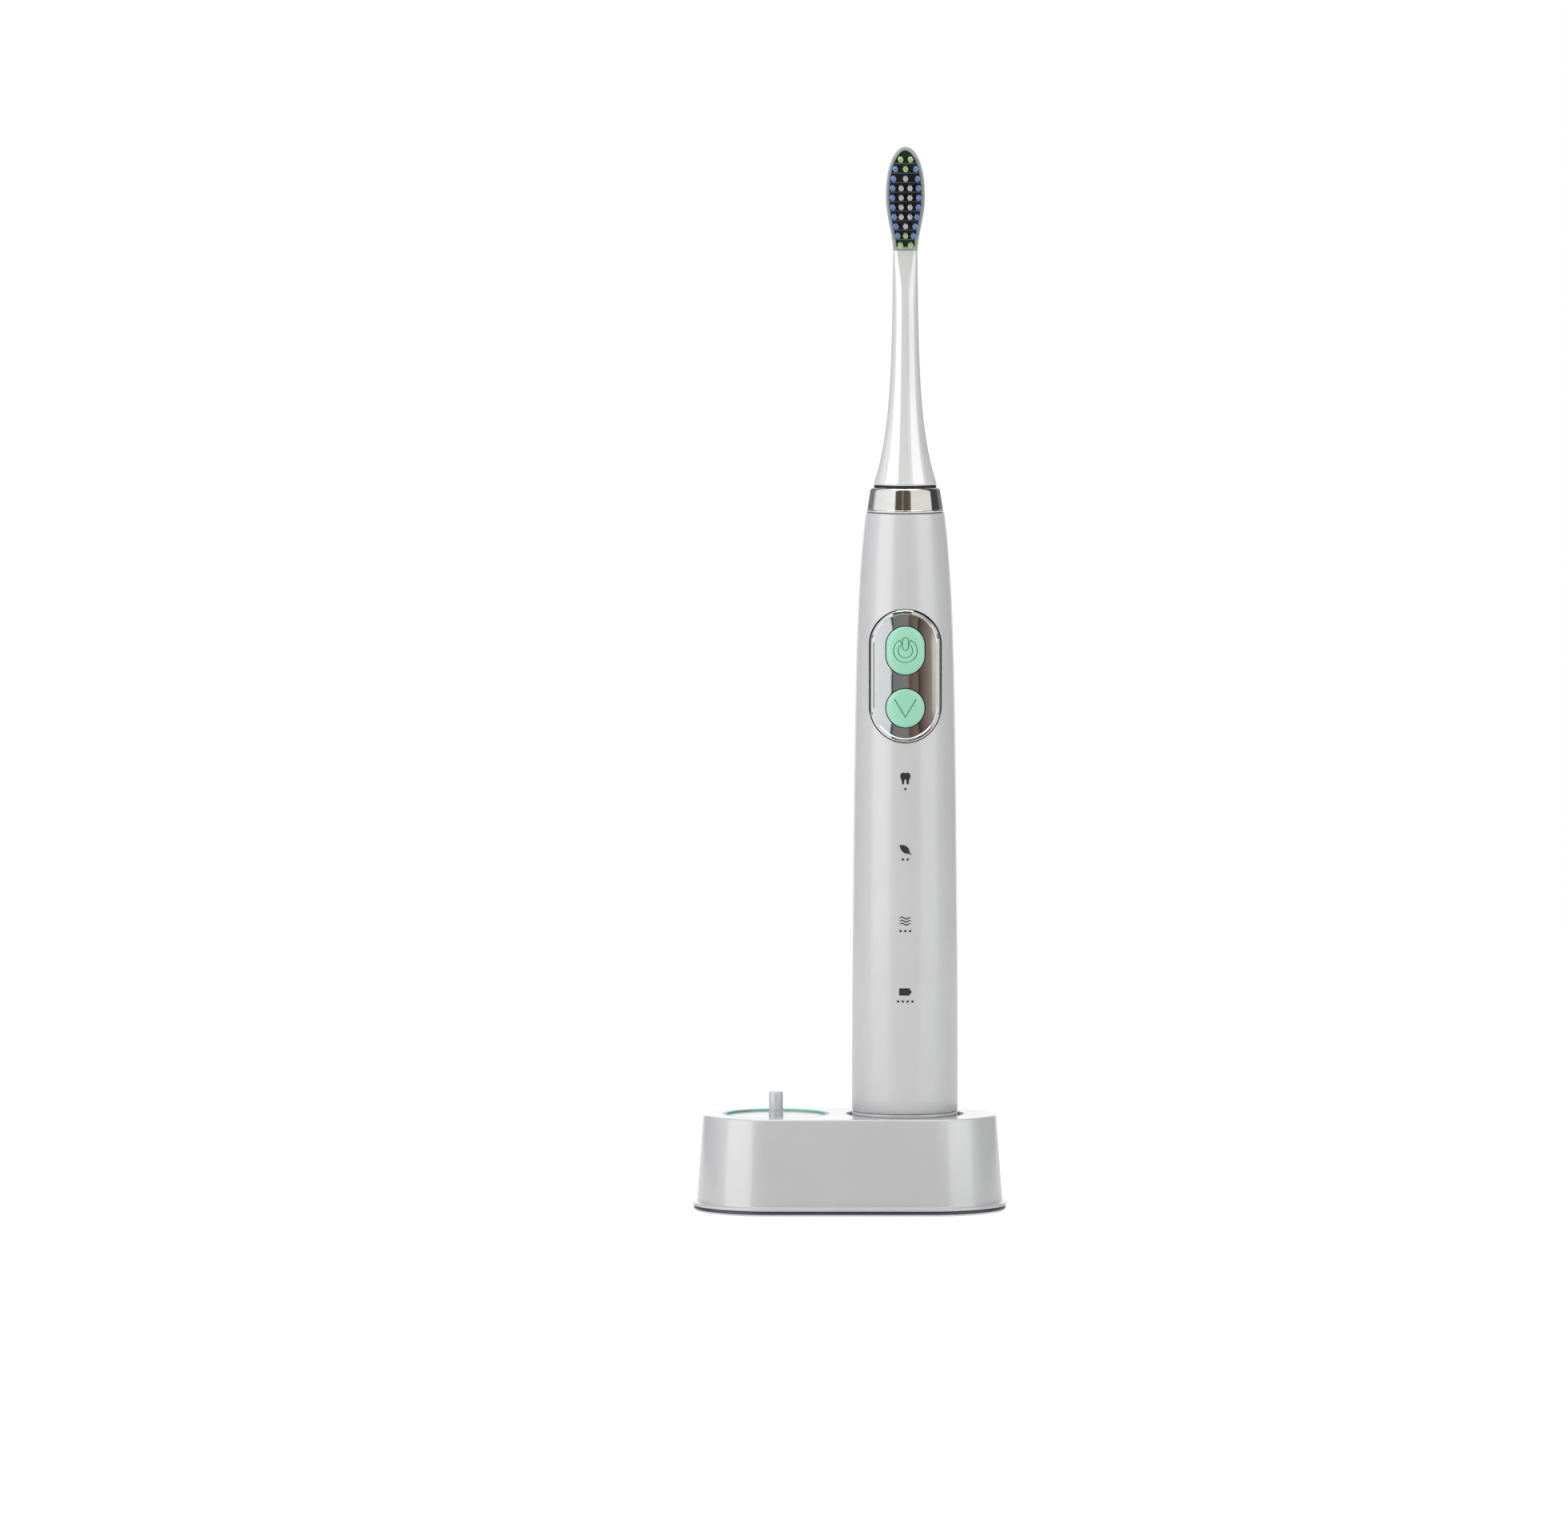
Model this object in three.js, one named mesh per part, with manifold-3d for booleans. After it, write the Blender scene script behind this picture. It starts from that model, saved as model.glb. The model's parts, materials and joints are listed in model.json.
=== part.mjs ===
// Electric toothbrush standing on its two-place charger.
// Millimetres, +Z up, buttons and bristles towards -Y.
// The origin is on the floor under the middle of the charger.

import * as THREE from "three";
import { mergeVertices } from "three/addons/utils/BufferGeometryUtils.js";
import Module from "manifold-3d";

const wasm = await Module();
wasm.setup();

// ---- Charger sizes ----
const HANDLE_FOOT_RADIUS = 13.9; // the charger's depth follows from it
const CHARGER_LENGTH = 80.2; // across the foot of the body, without the lip
const CHARGER_MARGIN = 4.25; // from the ring round the handle to the body's foot in front and behind
const CHARGER_HEIGHT = 25.2;
const CHARGER_LEAN = 1.75; // how far each side leans in from foot to top
const CHARGER_WALL = 2;
const CHARGER_EDGE = 0.6; // rounding of the top edge
const LIP_OUT = 1.05;
const LIP_HEIGHT = 0.8;
const PLATE_EDGE = 0.8; // height of the dark base plate's visible edge
const PLATE_STEP = 1.3; // how far the plate reaches up inside the housing
const FOOT_DROP = 0.5; // how far the feet stand out below the plate
const FOOT_RADIUS = 3.5;
const FOOT_SPACING_X = 48;
const FOOT_SPACING_Y = 22;
const SCREW_SPACING = 66;
const SCREW_RADIUS = 1.1;
const HANDLE_X = 14.4; // place of the handle
const PEG_X = -19.3; // place of the peg for a spare head
const PEG_RADIUS = 1.9;
const PEG_HEIGHT = 6;
const PEG_RING_RADIUS = 13.9;
const SEAT_MARGIN = 1.45; // from the handle's foot to the outside of the ring it stands in
const CHARGER_DEPTH = 2 * (HANDLE_FOOT_RADIUS + SEAT_MARGIN + CHARGER_MARGIN);
const SEAT_DEPTH = 0.5; // both places are shallow recesses, each lined with a ring
const RING_WIDTH = 0.9;
const RING_INSET = 0.6; // how deep a ring sits below its recess
const POST_RADIUS = 4.3; // charging post that reaches up into the handle
const POST_HEIGHT = 9;
const POST_WALL = 1.2;
const CORE_RADIUS = 2.9; // ferrite rod inside the post
const BOSS_SCREW_DEPTH = 6;
const BOBBIN_FLANGE = 0.9;
const BOBBIN_TUBE = 0.8;
const BOBBIN_BOTTOM = 8;
const BOBBIN_HEIGHT = 8;
const BOBBIN_RADIUS = 10;
const INLET_X = -4;
const INLET_Z = 9;
const INLET_WIDTH = 9.4;
const INLET_HEIGHT = 3.6;
const INLET_LENGTH = 8;
const INLET_WALL = 0.4;
const INLET_TONGUE = 0.7; // thickness of the contact tongue
const CHARGER_BOARD_TOP = 6.2;
const CHARGER_BOARD_LENGTH = 28;
const CHARGER_BOARD_DEPTH = [-12, 10];
const CAPACITOR_RADIUS = 4;
const CAPACITOR_HEIGHT = 8;

// ---- Handle sizes ----
const HANDLE_LENGTH = 158; // from the foot to the shoulder under the collar
const HANDLE_TOP_RADIUS = 10.25;
const SLOW_TAPER = 0.28; // share of the taper over the whole length; the rest gathers near the shoulder
const HANDLE_WALL = 1.8;
const CAP_BAND = 1.2; // visible edge of the end cap
const CAP_HEIGHT = 9;
const CAP_WALL = 1.6;
const CAP_FLOOR = 2.2;
const CAP_GROOVE_DROP = 3; // seal groove below the cap's top edge
const SEAL_THICK = 0.9;
const PANEL_WIDTH = 18.4;
const PANEL_HEIGHT = 34.4;
const PANEL_BELOW_TOP = 42.1; // panel centre below the shoulder
const PANEL_PROUD = 0.35;
const POWER_WIDTH = 10;
const POWER_HEIGHT = 12.5;
const POWER_UP = 6.7; // button centres from the panel centre
const MODE_DIAMETER = 10;
const MODE_DOWN = 8.3;
const BUTTON_PROUD = 0.95;
const BUTTON_TRAVEL = 0.5;
const MEMBRANE_THICK = 0.9;
const BOARD_THICK = 1;
const LIGHTS_BELOW_PANEL = 11.1; // top light under the panel's lower edge
const LOWEST_LIGHT = 20; // above the foot of the chassis
const RAIL_HALF_WIDTH = 2.5; // chassis rails beside the battery
const RAIL_THICK = 1.6;
const TAB_HALF_WIDTH = 2.4;
const TAB_THICK = 0.4;
const SWITCH_HALF = 2.6;
const LIGHT_COUNT = 4;
const BATTERY_RADIUS = 7;
const COLLAR_HEIGHT = 6.4;
const COLLAR_TOP_RADIUS = 9.2;
const SPIGOT_RADIUS = 6.8; // neck of the shell inside the collar
const SPIGOT_BORE = 5.2;
const SEAL_FLANGE = 0.3; // rim of the shaft seal, in the gap under the brush head
const SEAL_INSET = 1; // that rim's edge in from the collar's

// ---- Drive sizes ----
const MOTOR_RADIUS = 5.8;
const MOTOR_WALL = 0.7;
const MOTOR_LENGTH = 58;
const MOTOR_BELOW_TOP = 14;
const SHAFT_RADIUS = 2;
const SHAFT_TIP_RADIUS = 1.75; // the part that the brush head grips
const TORSION_RADIUS = 0.8;
const ROTOR_THICK = 5;
const ROTOR_ARM = 1.6; // half width of the rotor arms and magnets
const BEARING_HEIGHT = 4;
const STATOR_LEG = 1.9; // half width of the middle leg
const STATOR_SIDE = 1.2;

// ---- Brush head sizes ----
const HEAD_GAP = 0.7; // between collar and brush head
const HEAD_FOOT_RADIUS = 8.55;
const NECK_RADIUS = 3.2;
const FLARE_FADE = 15; // height over which the foot's flare falls to about a third
const HEAD_HALF_WIDTH = 5.1;
const HEAD_THICK = 5;
const HEAD_START = 60; // heights above the foot of the brush head
const HEAD_WIDEST = 75.1;
const HEAD_TIP = 88.2;
const TIP_POWER = 2.3; // 2 would make the tip an ellipse; more makes it blunter
const HEAD_BEVEL = 0.6;
const NECK_WALL = 1.4;
const BORE_DEPTH = 24;
const SHAFT_REACH = 19; // how far the shaft goes into the brush head
const RIM = 0.9; // edge of the head round the pocket for the tuft roots
const HEEL_ROOM = 0.2; // how far the pocket reaches down for the last row's roots
const PLATE_THICK = 1.3;
const MAT_THICK = 0.5;
const CLIP_FOOT = 6; // spring clip that grips the shaft
const CLIP_HEIGHT = 5;
const CLIP_WALL = 0.5;
const TUFT_RADIUS = 0.7;
const TUFT_OUT = 9.5; // bristle length in front of the head
const TUFT_ROWS = 10;
const TUFT_PITCH = 2.47;
const TUFT_TOP = 3.2; // top row below the tip
const BLUE_INSET = 1.72; // outer tufts in from the edge of the head
const WHITE_HALF_GAP = 1.15;
const GREEN_HALF_GAP = 1.3;

// ---- Clearances ----
const FIT = 0.1; // between pieces fixed together
const SLIDE = 0.2; // round a button in its opening
const LOOSE = 0.3;

// ---- Sides of a full turn ----
const FINE = 32;
const ROUND = 16;
const SMALL = 12;
const TUFT_SIDES = 6;

// ---- Levels that follow from the sizes ----
const plateTop = FOOT_DROP + PLATE_EDGE;
const housingFoot = plateTop + FIT;
const screwHeadTop = FOOT_DROP + 1.1;
const screwBossFoot = plateTop + PLATE_STEP + FIT;
const screwTip = screwBossFoot + BOSS_SCREW_DEPTH;
const pegFoot = CHARGER_HEIGHT - CHARGER_WALL - 4;
const seatFloor = CHARGER_HEIGHT - SEAT_DEPTH;
const handleFoot = seatFloor + FIT;
const seatRingRadius = HANDLE_FOOT_RADIUS + SEAT_MARGIN;
const chargerRadius = CHARGER_DEPTH / 2;
const chargerStraight = CHARGER_LENGTH - CHARGER_DEPTH;
const panelCentre = HANDLE_LENGTH - PANEL_BELOW_TOP;
const capHole = POST_RADIUS + 0.5;
const capTower = capHole + POST_WALL;
const capHoleTop = CHARGER_HEIGHT + POST_HEIGHT - handleFoot + 0.4;
const chassisFoot = capHoleTop + POST_WALL + 1;
const motorTop = HANDLE_LENGTH - MOTOR_BELOW_TOP;
const motorFoot = motorTop - MOTOR_LENGTH;
const boardBack = -(MOTOR_RADIUS + LOOSE);
const boardFront = boardBack - BOARD_THICK;
const boardTop = panelCentre + PANEL_HEIGHT / 2 + 1;
const batteryFoot = chassisFoot + 4;
const batteryTop = motorFoot - 3.5;
const collarTop = HANDLE_LENGTH + FIT + COLLAR_HEIGHT;
const headFoot = collarTop + HEAD_GAP;
const shaftTop = headFoot + SHAFT_REACH;
const headFront = -HEAD_THICK / 2;
const plateBack = headFront + PLATE_THICK;

// ---- Shape helpers ----

// A closed three.js geometry as a manifold solid: corners merged, empty triangles at an axis dropped.
function solid(geometry) {
  const bare = geometry.clone();
  bare.deleteAttribute("normal");
  bare.deleteAttribute("uv");
  const merged = mergeVertices(bare, 1e-5);
  const index = merged.index.array;
  const triVerts = [];
  for (let i = 0; i < index.length; i += 3) {
    const [a, b, c] = [index[i], index[i + 1], index[i + 2]];
    if (a !== b && b !== c && c !== a) triVerts.push(a, b, c);
  }
  const vertProperties = Float32Array.from(merged.attributes.position.array);
  const mesh = new wasm.Mesh({ numProp: 3, vertProperties, triVerts: Uint32Array.from(triVerts) });
  return new wasm.Manifold(mesh);
}

function union(...parts) {
  return parts.reduce((sum, part) => sum.add(part));
}

// Turns an outline of [radius, height] points about Z.
// Outlines run out along the bottom and up the outside.
function revolve(outline, segments = ROUND) {
  const points = outline.map(([r, z]) => new THREE.Vector2(r, z));
  return solid(new THREE.LatheGeometry(points, segments).rotateX(Math.PI / 2));
}

function disc(radius, low, high, segments = ROUND) {
  return revolve([[0, low], [radius, low], [radius, high], [0, high]], segments);
}

function ring(inner, outer, low, high, segments = ROUND) {
  return revolve([[inner, low], [outer, low], [outer, high], [inner, high], [inner, low]], segments);
}

function box([x0, x1], [y0, y1], [z0, z1]) {
  const block = new THREE.BoxGeometry(x1 - x0, y1 - y0, z1 - z0);
  return solid(block.translate((x0 + x1) / 2, (y0 + y1) / 2, (z0 + z1) / 2));
}

// An outline with two straight sides and two half-round ends; a circle when both sizes are equal.
function stadium(width, height, cx = 0, cy = 0) {
  const radius = Math.min(width, height) / 2;
  const dx = width / 2 - radius;
  const dy = height / 2 - radius;
  const start = width > height ? -Math.PI / 2 : 0;
  const shape = new THREE.Shape();
  shape.absarc(cx + dx, cy + dy, radius, start, start + Math.PI);
  shape.absarc(cx - dx, cy - dy, radius, start + Math.PI, start + 2 * Math.PI);
  return shape;
}

// An outline in Y and Z pushed along X, and one in X and Z pushed along Y.
function prismX(shape, x0, x1) {
  const body = new THREE.ExtrudeGeometry(shape, { depth: x1 - x0, bevelEnabled: false });
  return solid(body.rotateX(Math.PI / 2).rotateZ(Math.PI / 2).translate(x0, 0, 0));
}

function prismY(shape, y0, y1, curveSegments = 10) {
  const body = new THREE.ExtrudeGeometry(shape, { depth: y1 - y0, bevelEnabled: false, curveSegments });
  return solid(body.rotateX(Math.PI / 2).translate(0, y1, 0));
}

// An oval body: the [radius, height] outline turned round each end and drawn straight between them.
function oval(outline, straight) {
  const end = new THREE.LatheGeometry(outline.map(([r, z]) => new THREE.Vector2(r, z)), FINE);
  const mirrored = outline.map(([r, z]) => new THREE.Vector2(-r, z)).reverse();
  const section = outline.map(([r, z]) => new THREE.Vector2(r, z)).concat(mirrored);
  end.rotateX(Math.PI / 2);
  return union(
    prismX(new THREE.Shape(section), -straight / 2, straight / 2),
    solid(end.clone().translate(straight / 2, 0, 0)),
    solid(end.clone().translate(-straight / 2, 0, 0)),
  );
}

function linear(from, to, steps, at) {
  return Array.from({ length: steps + 1 }, (_, i) => at(from + ((to - from) * i) / steps));
}

// ---- Materials and the scene graph ----

const looks = {
  white: [0xe9e9ea, 0.3, 0],
  pearl: [0xd9d9db, 0.4, 0.1],
  dark: [0x3c3952, 0.6, 0],
  grey: [0x8b8d90, 0.5, 0],
  mint: [0x8cc3aa, 0.45, 0],
  teal: [0x7fb9b0, 0.5, 0],
  rubber: [0x2a2b2e, 0.8, 0],
  chrome: [0xc8c8c4, 0.1, 1],
  steel: [0xb0b2b5, 0.35, 1],
  copper: [0xb87333, 0.35, 1],
  ferrite: [0x4a4a4c, 0.7, 0],
  board: [0x1f6b45, 0.5, 0],
  black: [0x222225, 0.5, 0],
  light: [0xe8f4d8, 0.3, 0],
  blueTuft: [0x6e8cc3, 0.6, 0],
  greenTuft: [0xa0c878, 0.6, 0],
  whiteTuft: [0xdcdcdc, 0.6, 0],
};

const toothbrush = new THREE.Group();
const charger = new THREE.Group();
const handle = new THREE.Group();
const brushHead = new THREE.Group();
handle.position.set(HANDLE_X, 0, handleFoot);
brushHead.position.set(0, 0, headFoot);
toothbrush.add(charger, handle);
handle.add(brushHead);

function place(group, name, body, look) {
  const [color, roughness, metalness] = looks[look];
  const { vertProperties, triVerts } = body.getMesh();
  const geometry = new THREE.BufferGeometry();
  geometry.setAttribute("position", new THREE.BufferAttribute(vertProperties, 3));
  geometry.setIndex(new THREE.BufferAttribute(triVerts, 1));
  const mesh = new THREE.Mesh(geometry, new THREE.MeshStandardMaterial({ color, roughness, metalness }));
  mesh.name = name;
  group.add(mesh);
}

// ---- Charger ----

function chargerSide(inset, z) {
  const share = (z - housingFoot) / (CHARGER_HEIGHT - housingFoot);
  return chargerRadius - CHARGER_LEAN * share - inset;
}

function chargerHousing() {
  const lip = chargerRadius + LIP_OUT;
  const lipTop = housingFoot + LIP_HEIGHT;
  const edgeFoot = CHARGER_HEIGHT - CHARGER_EDGE;
  const roundCentre = chargerSide(CHARGER_EDGE, edgeFoot);
  const roundEdge = linear(0, Math.PI / 2, 3, (a) => [
    roundCentre + CHARGER_EDGE * Math.cos(a),
    edgeFoot + CHARGER_EDGE * Math.sin(a),
  ]);
  const outside = [[0, housingFoot], [lip, housingFoot], [lip, lipTop], [chargerSide(0, lipTop), lipTop]];
  const body = oval([...outside, ...roundEdge, [0, CHARGER_HEIGHT]], chargerStraight);
  const roof = CHARGER_HEIGHT - CHARGER_WALL;
  const below = housingFoot - 1;
  const innerFoot = chargerSide(CHARGER_WALL, housingFoot);
  const innerRoof = chargerSide(CHARGER_WALL, roof);
  const hollow = oval([[0, below], [innerFoot, below], [innerRoof, roof], [0, roof]], chargerStraight);
  const post = revolve([
    [0, roof],
    [POST_RADIUS, roof],
    [POST_RADIUS, CHARGER_HEIGHT + POST_HEIGHT - 1],
    [POST_RADIUS - 0.3, CHARGER_HEIGHT + POST_HEIGHT - 0.3],
    [POST_RADIUS - 1, CHARGER_HEIGHT + POST_HEIGHT],
    [0, CHARGER_HEIGHT + POST_HEIGHT],
  ]).translate([HANDLE_X, 0, 0]);
  const postHole = disc(POST_RADIUS - POST_WALL, roof - 1, CHARGER_HEIGHT + POST_HEIGHT - POST_WALL);
  const pegBoss = disc(2 * PEG_RADIUS, pegFoot, roof + 1).translate([PEG_X, 0, 0]);
  const pegHole = union(
    disc(PEG_RADIUS + FIT, pegFoot + 1, CHARGER_HEIGHT + 1),
    disc(SCREW_RADIUS + FIT, pegFoot - 1, CHARGER_HEIGHT, SMALL),
  ).translate([PEG_X, 0, 0]);
  const inletHole = prismY(
    stadium(INLET_WIDTH + 2 * FIT, INLET_HEIGHT + 2 * FIT, INLET_X, INLET_Z),
    chargerRadius - 3 * CHARGER_WALL,
    chargerRadius + 1,
  );
  const screwBosses = [-1, 1].map((side) => {
    const boss = disc(3 * SCREW_RADIUS, screwBossFoot, roof + 1, SMALL);
    return boss.subtract(disc(SCREW_RADIUS + FIT, screwBossFoot - 1, screwTip + 1, SMALL))
      .translate([(side * SCREW_SPACING) / 2, 0, 0]);
  });
  return union(body.subtract(hollow), post, pegBoss, ...screwBosses)
    .subtract(postHole.translate([HANDLE_X, 0, 0]))
    .subtract(pegHole)
    .subtract(inletHole)
    .subtract(seatRecess(seatRingRadius).translate([HANDLE_X, 0, 0]).subtract(post))
    .subtract(seatRecess(PEG_RING_RADIUS).translate([PEG_X, 0, 0]));
}

// A shallow round recess in the top of the charger, with a deeper groove at its edge for the ring.
function seatRecess(radius) {
  const above = CHARGER_HEIGHT + 1;
  const floor = disc(radius + FIT, seatFloor, above, FINE);
  const grooveFoot = seatFloor - RING_INSET - FIT;
  return floor.add(ring(radius - RING_WIDTH - FIT, radius + FIT, grooveFoot, above, FINE));
}

// The ring that lines a recess. Its top edge is level with the charger's top.
function liningRing(radius) {
  const inner = radius - RING_WIDTH;
  const low = seatFloor - RING_INSET;
  return revolve(
    [[inner, low], [radius, low], [radius, CHARGER_HEIGHT], [inner + 2 * FIT, CHARGER_HEIGHT],
      [inner, CHARGER_HEIGHT - 2 * FIT], [inner, low]],
    FINE,
  );
}

function basePlate() {
  const edge = chargerRadius + LIP_OUT - LOOSE;
  const step = chargerSide(CHARGER_WALL + LOOSE, housingFoot);
  const plate = oval(
    [[0, FOOT_DROP], [edge, FOOT_DROP], [edge, plateTop], [step, plateTop], [step, plateTop + PLATE_STEP],
      [0, plateTop + PLATE_STEP]],
    chargerStraight,
  );
  const recesses = footPlaces.map(([x, y]) =>
    disc(FOOT_RADIUS + FIT, 0, plateTop + FIT, SMALL).translate([x, y, 0]));
  const screwHoles = [-1, 1].map((side) => {
    const headRoom = disc(2 * SCREW_RADIUS + LOOSE, 0, screwHeadTop + FIT, SMALL);
    const shankRoom = disc(SCREW_RADIUS + LOOSE, 0, screwTip, SMALL);
    return headRoom.add(shankRoom).translate([(side * SCREW_SPACING) / 2, 0, 0]);
  });
  return plate.subtract(union(...recesses, ...screwHoles));
}

const footPlaces = [-1, 1].flatMap((sx) =>
  [-1, 1].map((sy) => [(sx * FOOT_SPACING_X) / 2, (sy * FOOT_SPACING_Y) / 2]));

function foot() {
  const corner = 0.3;
  return revolve(
    [[0, 0], [FOOT_RADIUS - corner, 0], [FOOT_RADIUS, corner], [FOOT_RADIUS, plateTop], [0, plateTop]],
    SMALL,
  );
}

// A screw with its cross slot in the head, driven upwards.
function screw(headFoot, headTop, tip) {
  const headRadius = 2 * SCREW_RADIUS;
  const body = revolve(
    [[0, headFoot], [headRadius, headFoot], [headRadius, headTop], [SCREW_RADIUS, headTop],
      [SCREW_RADIUS, tip - SCREW_RADIUS], [0, tip]],
    SMALL,
  );
  const slot = 0.3;
  const reach = 0.6 * headRadius;
  const depth = [headFoot - 1, headFoot + 0.5 * (headTop - headFoot)];
  const across = box([-reach, reach], [-slot, slot], depth);
  return body.subtract(across).subtract(box([-slot, slot], [-reach, reach], depth));
}

// A plain pin with a shallow groove above its foot and a rounded top, drawn down on to its boss by a screw.
function holderPeg() {
  const top = CHARGER_HEIGHT + PEG_HEIGHT;
  const groove = seatFloor + 1.4;
  const body = revolve([
    [0, pegFoot + 1 + FIT],
    [PEG_RADIUS, pegFoot + 1 + FIT],
    [PEG_RADIUS, groove],
    [PEG_RADIUS - 0.15, groove + 0.1],
    [PEG_RADIUS - 0.15, groove + 0.3],
    [PEG_RADIUS, groove + 0.4],
    [PEG_RADIUS, top - 0.8],
    [PEG_RADIUS - 0.3, top - 0.2],
    [PEG_RADIUS - 0.9, top],
    [0, top],
  ]);
  return body.subtract(disc(SCREW_RADIUS + FIT, pegFoot, CHARGER_HEIGHT - 0.5, SMALL));
}

function coilFormer(inner, wall, outer, low, high, flange) {
  const tube = inner + wall;
  return revolve([
    [inner, low], [outer, low], [outer, low + flange], [tube, low + flange],
    [tube, high - flange], [outer, high - flange], [outer, high], [inner, high], [inner, low],
  ]);
}

function powerInlet() {
  const wallFace = chargerRadius + FIT;
  const back = wallFace - INLET_LENGTH;
  const outline = (grow) => stadium(INLET_WIDTH + 2 * grow, INLET_HEIGHT + 2 * grow, INLET_X, INLET_Z);
  const flange = prismY(outline(1.3), wallFace, wallFace + 0.8);
  const shell = prismY(outline(0), back, wallFace + 0.2);
  const mouth = prismY(outline(-INLET_WALL), back + 1, wallFace + 2);
  const tongueHalf = INLET_WIDTH / 2 - 1.6;
  const tongue = box(
    [INLET_X - tongueHalf, INLET_X + tongueHalf],
    [back + 0.5, wallFace - 1],
    [INLET_Z - INLET_TONGUE / 2, INLET_Z + INLET_TONGUE / 2],
  );
  return union(flange, shell).subtract(mouth).add(tongue);
}

function buildCharger() {
  place(charger, "charger_housing", chargerHousing(), "white");
  place(charger, "charger_base_plate", basePlate(), "dark");
  footPlaces.forEach(([x, y], i) => {
    place(charger, `rubber_foot_${i + 1}`, foot().translate([x, y, 0]), "rubber");
  });
  [-1, 1].forEach((side, i) => {
    const fixing = screw(FOOT_DROP + 0.2, screwHeadTop, screwTip);
    place(charger, `base_screw_${i + 1}`, fixing.translate([(side * SCREW_SPACING) / 2, 0, 0]), "steel");
  });

  const bobbinTop = BOBBIN_BOTTOM + BOBBIN_HEIGHT;
  const coreTop = CHARGER_HEIGHT + POST_HEIGHT - POST_WALL - FIT;
  const core = disc(CORE_RADIUS, BOBBIN_BOTTOM, coreTop, SMALL);
  place(charger, "post_core", core.translate([HANDLE_X, 0, 0]), "ferrite");
  const bore = CORE_RADIUS + FIT;
  const bobbin = coilFormer(bore, BOBBIN_TUBE, BOBBIN_RADIUS, BOBBIN_BOTTOM, bobbinTop, BOBBIN_FLANGE);
  place(charger, "coil_bobbin", bobbin.translate([HANDLE_X, 0, 0]), "black");
  const windingFoot = BOBBIN_BOTTOM + BOBBIN_FLANGE + FIT;
  const windingTop = bobbinTop - BOBBIN_FLANGE - FIT;
  const winding = ring(bore + BOBBIN_TUBE + FIT, BOBBIN_RADIUS - 0.4, windingFoot, windingTop);
  place(charger, "primary_coil", winding.translate([HANDLE_X, 0, 0]), "copper");

  const boardEdge = HANDLE_X - BOBBIN_RADIUS - 1;
  const boardLeft = boardEdge - CHARGER_BOARD_LENGTH;
  const boardLevels = [CHARGER_BOARD_TOP - 1.2, CHARGER_BOARD_TOP];
  place(charger, "charger_board", box([boardLeft, boardEdge], CHARGER_BOARD_DEPTH, boardLevels), "board");
  const canTop = CHARGER_BOARD_TOP + CAPACITOR_HEIGHT;
  const capacitor = disc(CAPACITOR_RADIUS, CHARGER_BOARD_TOP + FIT, canTop, SMALL);
  place(charger, "board_capacitor", capacitor.translate([boardLeft + 6, -6, 0]), "black");
  place(charger, "power_inlet", powerInlet(), "steel");

  place(charger, "holder_peg", holderPeg().translate([PEG_X, 0, 0]), "grey");
  const pegScrew = screw(pegFoot - 1.5, pegFoot - FIT, CHARGER_HEIGHT - 1.5);
  place(charger, "peg_screw", pegScrew.translate([PEG_X, 0, 0]), "steel");
  place(charger, "peg_ring", liningRing(PEG_RING_RADIUS).translate([PEG_X, 0, 0]), "teal");
  place(charger, "seat_ring", liningRing(seatRingRadius).translate([HANDLE_X, 0, 0]), "grey");
}

// ---- Handle casing ----

// Outside radius of the handle at a height above its foot.
function handleRadius(height) {
  const share = Math.min(Math.max(height / HANDLE_LENGTH, 0), 1);
  const slow = THREE.MathUtils.smoothstep(share, 0.05, 1);
  const taper = SLOW_TAPER * slow + (1 - SLOW_TAPER) * share ** 8;
  return HANDLE_FOOT_RADIUS - (HANDLE_FOOT_RADIUS - HANDLE_TOP_RADIUS) * taper;
}

function casingRadius(height) {
  return handleRadius(height) - HANDLE_WALL;
}

// Heights that crowd towards the shoulder, where the handle curves most.
function casingHeights(from, to, steps) {
  return linear(0, 1, steps, (t) => from + (to - from) * (1 - (1 - t) ** 1.6));
}

// The handle's outside grown or shrunk by an offset, between two heights, as a solid of revolution.
function handleSkin(offset, from, to) {
  const side = linear(from, to, 6, (z) => [handleRadius(z) + offset, z]);
  return revolve([[0, from], ...side, [0, to]], 48);
}

// A piece of the handle's curved skin, between two offsets, under an outline drawn on the front.
function skinPatch(shape, inner, outer) {
  const low = panelCentre - PANEL_HEIGHT;
  const high = panelCentre + PANEL_HEIGHT / 2 + 4;
  const block = prismY(shape, -HANDLE_FOOT_RADIUS - 3, -1);
  return block.intersect(handleSkin(outer, low, high)).subtract(handleSkin(inner, low - 1, high + 1));
}

function panelOutline(grow) {
  return stadium(PANEL_WIDTH + 2 * grow, PANEL_HEIGHT + 2 * grow, 0, panelCentre);
}

function powerOutline(grow) {
  return stadium(POWER_WIDTH + 2 * grow, POWER_HEIGHT + 2 * grow, 0, panelCentre + POWER_UP);
}

function modeOutline(grow) {
  return stadium(MODE_DIAMETER + 2 * grow, MODE_DIAMETER + 2 * grow, 0, panelCentre - MODE_DOWN);
}

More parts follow.
